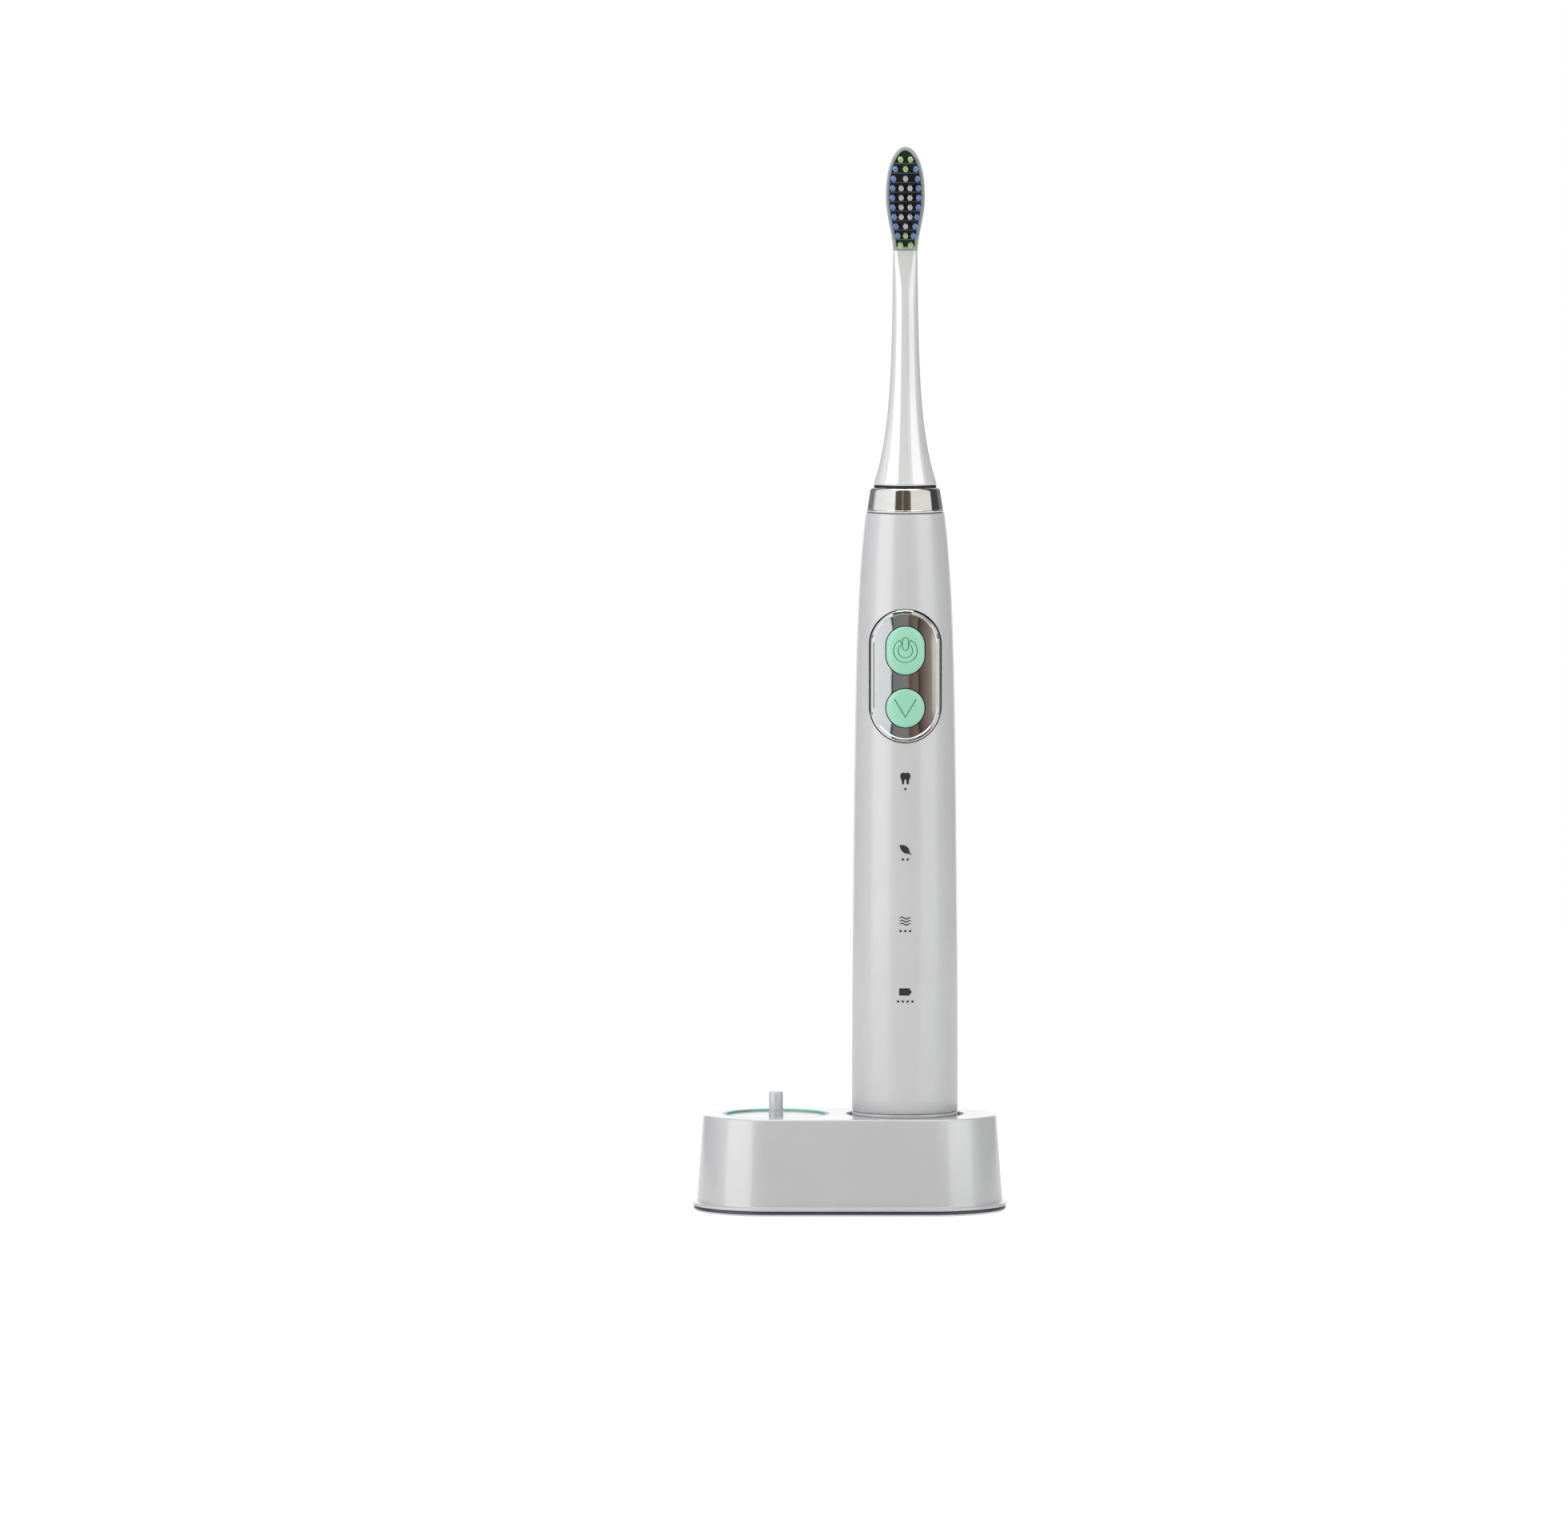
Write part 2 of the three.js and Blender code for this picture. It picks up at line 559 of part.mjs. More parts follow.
function handleShell() {
  const shellFoot = CAP_BAND + FIT;
  const edge = 0.6;
  const outside = casingHeights(shellFoot + edge, HANDLE_LENGTH, 13).map((z) => [handleRadius(z), z]);
  const body = revolve([
    [0, shellFoot],
    [handleRadius(shellFoot) - edge / 2, shellFoot],
    ...outside,
    [SPIGOT_RADIUS, HANDLE_LENGTH],
    [SPIGOT_RADIUS, collarTop - 0.6],
    [0, collarTop - 0.6],
  ], FINE);
  const roof = HANDLE_LENGTH - 2.5;
  const inside = casingHeights(shellFoot - 1, roof, 6).map((z) => [casingRadius(z), z]);
  const hollow = revolve([
    [0, shellFoot - 1], ...inside, [SPIGOT_BORE, roof], [SPIGOT_BORE, collarTop + 1], [0, collarTop + 1],
  ], FINE);
  return body.subtract(hollow).subtract(prismY(panelOutline(SLIDE), -HANDLE_FOOT_RADIUS - 3, -2));
}

function endCap() {
  const plug = casingRadius(CAP_HEIGHT) - FIT;
  const body = revolve([
    [capHole, 0],
    [handleRadius(0) - 0.6, 0],
    [handleRadius(0) - 0.2, 0.5],
    [handleRadius(0) - 0.2, CAP_BAND],
    [plug, CAP_BAND],
    [plug, CAP_HEIGHT],
    [plug - CAP_WALL, CAP_HEIGHT],
    [plug - CAP_WALL, CAP_FLOOR],
    [capTower, CAP_FLOOR],
    [capTower, capHoleTop + POST_WALL],
    [0, capHoleTop + POST_WALL],
    [0, capHoleTop],
    [capHole, capHoleTop],
    [capHole, 0],
  ], FINE);
  const middle = CAP_HEIGHT - CAP_GROOVE_DROP;
  const half = SEAL_THICK / 2 + FIT;
  return body.subtract(ring(plug - SEAL_THICK - FIT, plug + 1, middle - half, middle + half, FINE));
}

function endCapSeal() {
  const plug = casingRadius(CAP_HEIGHT) - FIT;
  const half = SEAL_THICK / 2;
  const middle = CAP_HEIGHT - CAP_GROOVE_DROP;
  const section = linear(0, 2 * Math.PI, 6, (a) => [
    plug - half + half * Math.cos(a),
    middle + half * Math.sin(a),
  ]);
  return revolve(section, FINE);
}

function collar() {
  return revolve([
    [SPIGOT_RADIUS + FIT, HANDLE_LENGTH + FIT],
    [HANDLE_TOP_RADIUS - 0.2, HANDLE_LENGTH + FIT],
    [HANDLE_TOP_RADIUS, HANDLE_LENGTH + FIT + 0.3],
    [COLLAR_TOP_RADIUS + 0.1, collarTop - 0.5],
    [COLLAR_TOP_RADIUS - 0.2, collarTop],
    [SPIGOT_RADIUS + FIT, collarTop],
    [SPIGOT_RADIUS + FIT, HANDLE_LENGTH + FIT],
  ], FINE);
}

function buttonPanel() {
  return skinPatch(panelOutline(0), -HANDLE_WALL + 0.3, PANEL_PROUD)
    .subtract(prismY(powerOutline(SLIDE), -2 * HANDLE_FOOT_RADIUS, 0))
    .subtract(prismY(modeOutline(SLIDE), -2 * HANDLE_FOOT_RADIUS, 0));
}

const membraneFront = -HANDLE_WALL - LOOSE - BUTTON_TRAVEL;

function keypadMembrane() {
  return skinPatch(panelOutline(-1), membraneFront - MEMBRANE_THICK, membraneFront);
}

// ---- Handle inside ----

function chassis() {
  const railInner = Math.max(BATTERY_RADIUS, MOTOR_RADIUS) + 0.4;
  const railOuter = railInner + RAIL_THICK;
  const railTop = motorTop - 6;
  const rails = [-1, 1].map((side) => {
    const [near, far] = [side * railInner, side * railOuter].sort((a, b) => a - b);
    return box([near, far], [-RAIL_HALF_WIDTH, RAIL_HALF_WIDTH], [chassisFoot, railTop]);
  });
  const floor = disc(casingRadius(chassisFoot) - 0.5, chassisFoot, chassisFoot + 2, FINE);
  const bulkhead = disc(casingRadius(motorFoot) - 0.5, motorFoot - 2.4, motorFoot - 0.6, FINE);
  const wide = 2 * HANDLE_FOOT_RADIUS;
  const boardRoom = box([-wide, wide], [-wide, boardBack + 0.2], [0, railTop - 3]);
  const motorRing = ring(MOTOR_RADIUS + 0.2, railOuter, railTop - 2, railTop, FINE);
  return union(floor, bulkhead, ...rails).subtract(boardRoom).add(motorRing);
}

const batteryY = casingRadius(batteryTop) - 0.8 - BATTERY_RADIUS;

function battery() {
  const rim = BATTERY_RADIUS - 0.6;
  return revolve([
    [0, batteryFoot], [rim, batteryFoot], [BATTERY_RADIUS, batteryFoot + 0.6],
    [BATTERY_RADIUS, batteryTop - 1.6], [rim, batteryTop - 1], [2.6, batteryTop - 1], [2.6, batteryTop],
    [0, batteryTop],
  ]).translate([0, batteryY, 0]);
}

// A contact strip across a battery end, with its tail bent along the board.
function batteryTab(level, tail) {
  const inner = level + Math.sign(tail) * TAB_THICK;
  const near = boardBack + 0.3;
  const corners = [[near, level], [batteryY + 2, level], [batteryY + 2, inner],
    [near + TAB_THICK, inner], [near + TAB_THICK, level + tail], [near, level + tail]];
  const strip = new THREE.Shape(corners.map(([y, z]) => new THREE.Vector2(y, z)));
  return prismX(strip, -TAB_HALF_WIDTH, TAB_HALF_WIDTH);
}

function circuitBoard() {
  const membraneBack = handleRadius(boardTop) + membraneFront - MEMBRANE_THICK;
  const room = Math.sqrt(membraneBack ** 2 - boardFront ** 2) - 0.3;
  return box([-room, room], [boardFront, boardBack], [chassisFoot + 2.5, boardTop]);
}

// A low push switch: a square case and its round key.
function pushSwitch(height) {
  const room = handleRadius(height) + membraneFront - MEMBRANE_THICK + boardFront;
  const front = boardFront - FIT;
  const caseDepth = 0.6 * (room - 2 * FIT);
  const sides = [height - SWITCH_HALF, height + SWITCH_HALF];
  const base = box([-SWITCH_HALF, SWITCH_HALF], [front - caseDepth, front], sides);
  const keyShape = stadium(SWITCH_HALF, SWITCH_HALF, 0, height);
  const key = prismY(keyShape, front - room + 3 * FIT, front - caseDepth + 0.1);
  return base.add(key);
}

function statusLight(height) {
  const front = boardFront - FIT;
  const base = box([-1.6, 1.6], [front - 0.6, front], [height - 0.8, height + 0.8]);
  return base.add(prismY(stadium(2, 1.2, 0, height), front - 1.1, front - 0.5, 6));
}

function buildHandle() {
  place(handle, "handle_shell", handleShell(), "pearl");
  place(handle, "end_cap", endCap(), "grey");
  place(handle, "end_cap_seal", endCapSeal(), "rubber");
  place(handle, "collar", collar(), "chrome");
  place(handle, "button_panel", buttonPanel(), "chrome");
  place(handle, "keypad_membrane", keypadMembrane(), "rubber");

  const coilFoot = CAP_FLOOR + FIT;
  const coilTop = CAP_HEIGHT + 0.2;
  const coilRoom = casingRadius(CAP_HEIGHT) - FIT - CAP_WALL - 0.2;
  const former = coilFormer(capTower + 0.15, 0.6, coilRoom, coilFoot, coilTop, 0.7);
  place(handle, "coil_former", former, "black");
  const winding = ring(capTower + 0.85, coilRoom - 0.3, coilFoot + 0.8, coilTop - 0.8);
  place(handle, "receiving_coil", winding, "copper");

  place(handle, "chassis", chassis(), "white");
  place(handle, "battery", battery(), "steel");
  place(handle, "battery_tab_lower", batteryTab(batteryFoot - 0.6, 6), "steel");
  place(handle, "battery_tab_upper", batteryTab(batteryTop + 0.6, -6), "steel");
  place(handle, "circuit_board", circuitBoard(), "board");
  place(handle, "power_switch", pushSwitch(panelCentre + POWER_UP), "steel");
  place(handle, "mode_switch", pushSwitch(panelCentre - MODE_DOWN), "steel");
  const lightsTop = panelCentre - PANEL_HEIGHT / 2 - LIGHTS_BELOW_PANEL;
  const lightsFoot = chassisFoot + LOWEST_LIGHT;
  linear(lightsTop, lightsFoot, LIGHT_COUNT - 1, (z) => z).forEach((z, i) => {
    place(handle, `status_light_${i + 1}`, statusLight(z), "light");
  });
}

// ---- Buttons ----

function buildButtons() {
  place(handle, "power_button", skinPatch(powerOutline(0), -HANDLE_WALL, BUTTON_PROUD), "mint");
  place(handle, "mode_button", skinPatch(modeOutline(0), -HANDLE_WALL, BUTTON_PROUD), "mint");
}

// ---- Drive ----

const coilLevel = motorFoot + 6;
const rotorFoot = coilLevel + 18;
const rotorReach = MOTOR_RADIUS - MOTOR_WALL - 0.7;
const rearBearing = rotorFoot + ROTOR_THICK + 4;
const frontBearing = motorTop - 6;

function motorCan() {
  const bore = MOTOR_RADIUS - MOTOR_WALL;
  return revolve([
    [TORSION_RADIUS + LOOSE, motorFoot],
    [MOTOR_RADIUS, motorFoot],
    [MOTOR_RADIUS, motorTop],
    [bore, motorTop],
    [bore, motorFoot + 1.5],
    [TORSION_RADIUS + LOOSE, motorFoot + 1.5],
    [TORSION_RADIUS + LOOSE, motorFoot],
  ], FINE);
}

// An E-shaped core: a round yoke with a middle leg in the coil and two side legs.
function statorCore() {
  const reach = MOTOR_RADIUS - MOTOR_WALL - 0.2;
  const yoke = disc(reach, motorFoot + 2, coilLevel);
  const top = rotorFoot - 1;
  const legs = union(
    box([-STATOR_LEG, STATOR_LEG], [-STATOR_LEG, STATOR_LEG], [coilLevel - 1, top]),
    box([-reach, -reach + STATOR_SIDE], [-2, 2], [coilLevel - 1, top]),
    box([reach - STATOR_SIDE, reach], [-2, 2], [coilLevel - 1, top]),
  ).intersect(disc(reach, motorFoot, top + 1));
  return union(yoke, legs).subtract(disc(TORSION_RADIUS + LOOSE, motorFoot, top + 1));
}

function driveCoil() {
  const reach = MOTOR_RADIUS - MOTOR_WALL - 0.2;
  const across = reach - STATOR_SIDE - 0.2;
  const body = box([-across, across], [-across, across], [coilLevel + 0.3, rotorFoot - 2]);
  const window = STATOR_LEG + 0.15;
  return body.intersect(disc(reach, coilLevel, rotorFoot))
    .subtract(box([-window, window], [-window, window], [coilLevel, rotorFoot]));
}

function driveShaft() {
  const neck = headFoot - 0.3;
  const body = revolve([
    [0, rotorFoot + 1], [SHAFT_RADIUS, rotorFoot + 1], [SHAFT_RADIUS, neck],
    [SHAFT_TIP_RADIUS, neck + 0.3], [SHAFT_TIP_RADIUS, shaftTop - 0.5], [SHAFT_TIP_RADIUS - 0.5, shaftTop],
    [0, shaftTop],
  ]);
  const flat = box([-3, 3], [SHAFT_TIP_RADIUS - 0.5, 3], [neck + 4, shaftTop + 1]);
  return body.subtract(flat);
}

function rotor() {
  const hub = ring(SHAFT_RADIUS + FIT, SHAFT_RADIUS + 1.2, rotorFoot + 1, rotorFoot + ROTOR_THICK);
  const arms = box([-rotorReach, rotorReach], [-ROTOR_ARM, ROTOR_ARM], [rotorFoot + 1, rotorFoot + 2.4])
    .subtract(disc(SHAFT_RADIUS + FIT, rotorFoot, rotorFoot + 4));
  return union(hub, arms);
}

function rotorMagnet(side) {
  const [near, far] = [side * (SHAFT_RADIUS + 1.3), side * rotorReach].sort((a, b) => a - b);
  const levels = [rotorFoot + 2.4 + FIT, rotorFoot + ROTOR_THICK];
  return box([near, far], [-ROTOR_ARM, ROTOR_ARM], levels);
}

function shaftSeal() {
  const inner = SHAFT_RADIUS + 0.15;
  const outer = SPIGOT_BORE - FIT;
  const low = HANDLE_LENGTH;
  const flange = collarTop + FIT;
  const top = flange + SEAL_FLANGE;
  const rim = COLLAR_TOP_RADIUS - SEAL_INSET;
  return revolve([
    [inner, low], [outer, low], [outer, flange], [rim, flange], [rim, top], [inner, top], [inner, low],
  ], FINE);
}

function buildDrive() {
  const bearingOuter = MOTOR_RADIUS - MOTOR_WALL - FIT;
  place(handle, "motor_can", motorCan(), "steel");
  place(handle, "stator_core", statorCore(), "ferrite");
  place(handle, "drive_coil", driveCoil(), "copper");
  const bearing = ring(SHAFT_RADIUS + FIT, bearingOuter, 0, BEARING_HEIGHT);
  place(handle, "rear_bearing", bearing.translate([0, 0, rearBearing]), "steel");
  place(handle, "front_bearing", bearing.translate([0, 0, frontBearing]), "steel");
  const damperOuter = casingRadius(motorTop) - FIT;
  const damper = ring(MOTOR_RADIUS + FIT, damperOuter, motorTop - 4, motorTop - 0.5, FINE);
  place(handle, "motor_damper", damper, "rubber");
  place(handle, "shaft_seal", shaftSeal(), "rubber");
  place(handle, "drive_shaft", driveShaft(), "steel");
  place(handle, "rotor", rotor(), "steel");
  place(handle, "rotor_magnet_left", rotorMagnet(-1), "ferrite");
  place(handle, "rotor_magnet_right", rotorMagnet(1), "ferrite");
  place(handle, "torsion_bar", disc(TORSION_RADIUS, motorFoot + 0.4, rotorFoot + 1 - FIT), "steel");
}

// ---- Brush head, measured up from its own foot ----

function neckRadius(height) {
  return NECK_RADIUS + (HEAD_FOOT_RADIUS - NECK_RADIUS) * Math.exp(-height / FLARE_FADE);
}

// Half the width of the head, as seen from the bristle side.
function headHalfWidth(height) {
  if (height > HEAD_WIDEST) {
    const share = (height - HEAD_WIDEST) / (HEAD_TIP - HEAD_WIDEST);
    return HEAD_HALF_WIDTH * Math.sqrt(Math.max(1 - share ** TIP_POWER, 0));
  }
  const share = (HEAD_WIDEST - height) / (HEAD_WIDEST - HEAD_START);
  return NECK_RADIUS + (HEAD_HALF_WIDTH - NECK_RADIUS) * (0.5 + 0.5 * Math.cos(Math.PI * share));
}

// The head's outline moved inwards: down one side and up the other, the round tip as an arc.
function headOutline(inset, foot) {
  const lower = linear(foot + inset, HEAD_WIDEST, 5, (z) => [headHalfWidth(z) - inset, z]);
  const tip = linear(0, Math.PI / 2, 7, (a) => [
    (HEAD_HALF_WIDTH - inset) * Math.cos(a),
    HEAD_WIDEST + (HEAD_TIP - inset - HEAD_WIDEST) * Math.sin(a) ** (2 / TIP_POWER),
  ]);
  const right = [...lower, ...tip.slice(1, -1)].map(([x, z]) => new THREE.Vector2(x, z));
  const left = right.map((p) => new THREE.Vector2(-p.x, p.y)).reverse();
  return new THREE.Shape([...right, new THREE.Vector2(0, HEAD_TIP - inset), ...left]);
}

function headBody() {
  const edge = 0.3;
  const neckTop = HEAD_START - 2;
  const side = linear(0, 1, 9, (t) => neckTop * t ** 1.3).slice(1).map((z) => [neckRadius(z), z]);
  const fade = linear(0.25, 1, 4, (t) => [headFade(t), neckTop + 11 * t]);
  const neck = revolve([
    [0, 0], [neckRadius(0) - edge, 0], [neckRadius(edge), edge], ...side, ...fade, [0, neckTop + 11.4],
  ], FINE);
  const paddle = new THREE.ExtrudeGeometry(headOutline(HEAD_BEVEL, HEAD_START + 2), {
    depth: HEAD_THICK - 2 * HEAD_BEVEL,
    bevelSize: HEAD_BEVEL,
    bevelThickness: HEAD_BEVEL,
    bevelSegments: 2,
  });
  paddle.rotateX(Math.PI / 2).translate(0, HEAD_THICK / 2 - HEAD_BEVEL, 0);
  const plateRoom = prismY(headOutline(-1, plateStart + 1 - FIT), -2 * HEAD_THICK, plateBack + FIT);
  const pocket = prismY(headOutline(RIM, plateStart - HEEL_ROOM), -HEAD_THICK, plateBack + 4 * FIT + MAT_THICK);
  const bore = revolve([
    [0, -1], [neckRadius(0) - NECK_WALL, -1],
    ...linear(0, BORE_DEPTH, 4, (z) => [neckRadius(z) - NECK_WALL, z]),
    [0, BORE_DEPTH],
  ]);
  return union(neck, solid(paddle)).subtract(plateRoom).subtract(pocket).subtract(bore);
}

const plateStart = HEAD_START + 1.2;

// The neck thins towards the head's half thickness where the two blend.
function headFade(t) {
  return NECK_RADIUS - (NECK_RADIUS - HEAD_THICK / 2 + 0.5) * t * t;
}

function tuftRowHeight(row) {
  return HEAD_TIP - TUFT_TOP - TUFT_PITCH * row;
}

function blueReach(row) {
  return headHalfWidth(tuftRowHeight(row)) - BLUE_INSET;
}

const lastRow = TUFT_ROWS - 1;
const innerRows = linear(1, lastRow - 1, lastRow - 2, (row) => row);
const tuftPlaces = {
  tufts_blue_left: innerRows.map((row) => [-blueReach(row), tuftRowHeight(row)]),
  tufts_blue_right: innerRows.map((row) => [blueReach(row), tuftRowHeight(row)]),
  tufts_white: [
    [0, tuftRowHeight(2)],
    ...linear(3, lastRow - 3, lastRow - 6, (row) => row)
      .flatMap((row) => [-1, 1].map((side) => [side * WHITE_HALF_GAP, tuftRowHeight(row)])),
    [0, tuftRowHeight(lastRow - 2)],
  ],
  tufts_green_tip: [
    [-GREEN_HALF_GAP, tuftRowHeight(0)],
    [GREEN_HALF_GAP, tuftRowHeight(0)],
    [0, tuftRowHeight(1)],
  ],
  tufts_green_heel: [
    [0, tuftRowHeight(lastRow - 1)],
    [-GREEN_HALF_GAP, tuftRowHeight(lastRow)],
    [GREEN_HALF_GAP, tuftRowHeight(lastRow)],
  ],
};

const matFront = plateBack + 2 * FIT;

// A mat of melted roots behind the plate, as thin bars that link one colour's tufts.
function tuftMat(places) {
  const links = places.slice(1).map(([x, z], i) => {
    const [fromX, fromZ] = places[i];
    const length = Math.hypot(x - fromX, z - fromZ);
    const bar = new THREE.BoxGeometry(length, MAT_THICK, TUFT_RADIUS);
    bar.rotateY(-Math.atan2(z - fromZ, x - fromX));
    return solid(bar.translate((x + fromX) / 2, matFront + MAT_THICK / 2, (z + fromZ) / 2));
  });
  return union(...links);
}

function tufts(places) {
  const tip = headFront - TUFT_OUT;
  const root = matFront + MAT_THICK + FIT;
  const pins = places.map(([x, z]) => {
    const pin = new THREE.CylinderGeometry(TUFT_RADIUS, TUFT_RADIUS, root - tip, TUFT_SIDES);
    return solid(pin.translate(x, (root + tip) / 2, z));
  });
  return union(tuftMat(places), ...pins);
}

function tuftPlate() {
  const edge = 0.4;
  const plate = prismY(headOutline(edge, plateStart - edge), headFront, plateBack)
    .add(prismY(headOutline(0, plateStart), headFront + edge, plateBack));
  const holes = Object.values(tuftPlaces).flat().map(([x, z]) => {
    const radius = TUFT_RADIUS + FIT;
    return solid(new THREE.CylinderGeometry(radius, radius, 2 * HEAD_THICK, TUFT_SIDES).translate(x, 0, z));
  });
  return plate.subtract(union(...holes));
}

function headSleeve() {
  const top = SHAFT_REACH + 2;
  const outside = linear(1, top, 4, (z) => [neckRadius(z) - NECK_WALL - FIT - 0.1, z]);
  const bore = SHAFT_TIP_RADIUS + 0.15;
  const sleeve = revolve([[bore, 1], ...outside, [bore, top], [bore, 1]]);
  return sleeve.subtract(disc(bore + 0.7, CLIP_FOOT - FIT, CLIP_FOOT + CLIP_HEIGHT + FIT));
}

function shaftClip() {
  const bore = SHAFT_TIP_RADIUS + 0.1;
  return ring(bore, bore + CLIP_WALL, CLIP_FOOT, CLIP_FOOT + CLIP_HEIGHT, SMALL);
}

function buildBrushHead() {
  place(brushHead, "head_body", headBody(), "white");
  place(brushHead, "head_sleeve", headSleeve(), "grey");
  place(brushHead, "shaft_clip", shaftClip(), "steel");
  place(brushHead, "tuft_plate", tuftPlate(), "grey");
  const tuftLooks = ["blueTuft", "blueTuft", "whiteTuft", "greenTuft", "greenTuft"];
  Object.entries(tuftPlaces).forEach(([name, places], i) => {
    place(brushHead, name, tufts(places), tuftLooks[i]);
  });
}

buildCharger();
buildHandle();
buildButtons();
buildDrive();
buildBrushHead();

export default toothbrush;
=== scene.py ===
import json
import math

import bmesh
import bpy
from mathutils import Matrix, Vector

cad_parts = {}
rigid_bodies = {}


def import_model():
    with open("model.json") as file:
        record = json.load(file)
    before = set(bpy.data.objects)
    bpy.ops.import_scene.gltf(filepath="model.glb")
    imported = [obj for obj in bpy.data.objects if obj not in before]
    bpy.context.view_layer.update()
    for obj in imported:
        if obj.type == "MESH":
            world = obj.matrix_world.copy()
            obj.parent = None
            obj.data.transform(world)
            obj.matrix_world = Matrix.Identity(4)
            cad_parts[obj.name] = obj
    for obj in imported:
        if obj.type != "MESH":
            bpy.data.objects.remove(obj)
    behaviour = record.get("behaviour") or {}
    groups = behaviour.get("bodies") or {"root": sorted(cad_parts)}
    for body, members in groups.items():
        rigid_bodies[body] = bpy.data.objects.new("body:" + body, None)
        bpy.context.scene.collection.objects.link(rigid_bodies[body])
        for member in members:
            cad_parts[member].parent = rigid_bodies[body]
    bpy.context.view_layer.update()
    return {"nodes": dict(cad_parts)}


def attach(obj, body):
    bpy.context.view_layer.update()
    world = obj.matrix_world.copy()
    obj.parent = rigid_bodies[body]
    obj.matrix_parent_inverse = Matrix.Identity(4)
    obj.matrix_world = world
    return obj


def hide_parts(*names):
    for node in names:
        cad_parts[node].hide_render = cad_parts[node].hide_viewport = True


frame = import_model()

# ---- Base tray ----
# Dark moulded tray that closes the charger from below. It clips up inside the housing, and only its
# thin edge shows, as a line all round the foot. Two screws and four feet sit in its recesses.

MM = 0.001
MERGE = 0.0004
END_CENTRE = 20.5
FOOT_PLACES = [(-24, -11), (-24, 11), (24, -11), (24, 11)]
SCREW_PLACES = [(-33, 0), (33, 0)]


def chain(body, points):
    """Joins (x, z) points by edges. A third number rounds that corner off by so much."""
    verts = [body.verts.new((point[0], 0, point[1])) for point in points]
    for pair in zip(verts, verts[1:]):
        body.edges.new(pair)
    for vert, point in zip(verts, points):
        if len(point) == 3:
            bmesh.ops.bevel(body, geom=[vert], offset=point[2], segments=5, profile=0.5,
                            affect="VERTICES", material=-1)
    return body.verts[:] + body.edges[:]


def closed(body):
    bmesh.ops.remove_doubles(body, verts=body.verts, dist=MERGE)
    bmesh.ops.recalc_face_normals(body, faces=body.faces)
    return body


def oval_body(points):
    """A (radius, height) chain taken round the oval: one round end, a straight side, the other end."""
    body = bmesh.new()
    geom = chain(body, points)
    bmesh.ops.rotate(body, verts=body.verts, cent=(0, 0, 0), matrix=Matrix.Rotation(-math.pi / 2, 3, "Z"))
    bmesh.ops.translate(body, verts=body.verts, vec=(END_CENTRE, 0, 0))
    for side in (1, -1):
        turn = bmesh.ops.spin(body, geom=geom, cent=(side * END_CENTRE, 0, 0), axis=(0, 0, 1),
                              angle=math.pi, steps=40, use_merge=False)
        ends = [item for item in turn["geom_last"] if isinstance(item, bmesh.types.BMEdge)]
        run = bmesh.ops.extrude_edge_only(body, edges=ends)["geom"]
        carried = {item for item in run if isinstance(item, bmesh.types.BMVert)}
        bmesh.ops.translate(body, verts=list(carried), vec=(-2 * side * END_CENTRE, 0, 0))
        geom = [item for item in run if isinstance(item, bmesh.types.BMEdge) and set(item.verts) <= carried]
        geom += list(carried)
    return closed(body)


def turned(points, steps=64):
    """A (radius, height) chain turned round the Z axis."""
    body = bmesh.new()
    geom = chain(body, points)
    bmesh.ops.spin(body, geom=geom, cent=(0, 0, 0), axis=(0, 0, 1), angle=2 * math.pi, steps=steps,
                   use_merge=True)
    return closed(body)


def moved(body, x, y=0, z=0):
    bmesh.ops.translate(body, verts=body.verts, vec=(x, y, z))
    return body


def joined(body, tool, operation):
    """The body with the tool cut out of it (DIFFERENCE) or grown on to it (UNION)."""
    holders = []
    for part in (body, tool):
        mesh = bpy.data.meshes.new("work")
        part.to_mesh(mesh)
        part.free()
        holders.append(bpy.data.objects.new("work", mesh))
        bpy.context.scene.collection.objects.link(holders[-1])
    step = holders[0].modifiers.new("step", "BOOLEAN")
    step.operation = operation
    step.solver = "EXACT"
    step.object = holders[1]
    bpy.context.view_layer.update()
    result = bmesh.new()
    result.from_object(holders[0], bpy.context.evaluated_depsgraph_get())
    for holder in holders:
        mesh = holder.data
        bpy.data.objects.remove(holder)
        bpy.data.meshes.remove(mesh)
    return result


def finished(name, body, material, sharp=35):
    """Makes the body a piece, with its millimetres turned to metres and its corners sharp."""
    bmesh.ops.scale(body, verts=body.verts, vec=(MM, MM, MM))
    mesh = bpy.data.meshes.new(name)
    body.to_mesh(mesh)
    body.free()
    for face in mesh.polygons:
        face.use_smooth = True
    mesh.set_sharp_from_angle(angle=math.radians(sharp))
    mesh.materials.append(material)
    piece = bpy.data.objects.new(name, mesh)
    bpy.context.scene.collection.objects.link(piece)
    return piece


def effect(name, inputs, outputs):
    """An empty shader node group with its sockets, and its input, output and object coordinates."""
    group = bpy.data.node_groups.new(name, "ShaderNodeTree")
    for label, kind, value in inputs:
        group.interface.new_socket(name=label, in_out="INPUT", socket_type=kind).default_value = value
    for label, kind in outputs:
        group.interface.new_socket(name=label, in_out="OUTPUT", socket_type=kind)
    entry = group.nodes.new("NodeGroupInput")
    result = group.nodes.new("NodeGroupOutput")
    place = group.nodes.new("ShaderNodeTexCoord").outputs["Object"]
    return group, entry.outputs, result.inputs, place


def noise(group, place, scale, detail, distortion=0.0):
    node = group.nodes.new("ShaderNodeTexNoise")
    node.inputs["Detail"].default_value = detail
    node.inputs["Distortion"].default_value = distortion
    group.links.new(place, node.inputs["Vector"])
    if isinstance(scale, bpy.types.NodeSocket):
        group.links.new(scale, node.inputs["Scale"])
    else:
        node.inputs["Scale"].default_value = scale
    return node.outputs["Fac"]


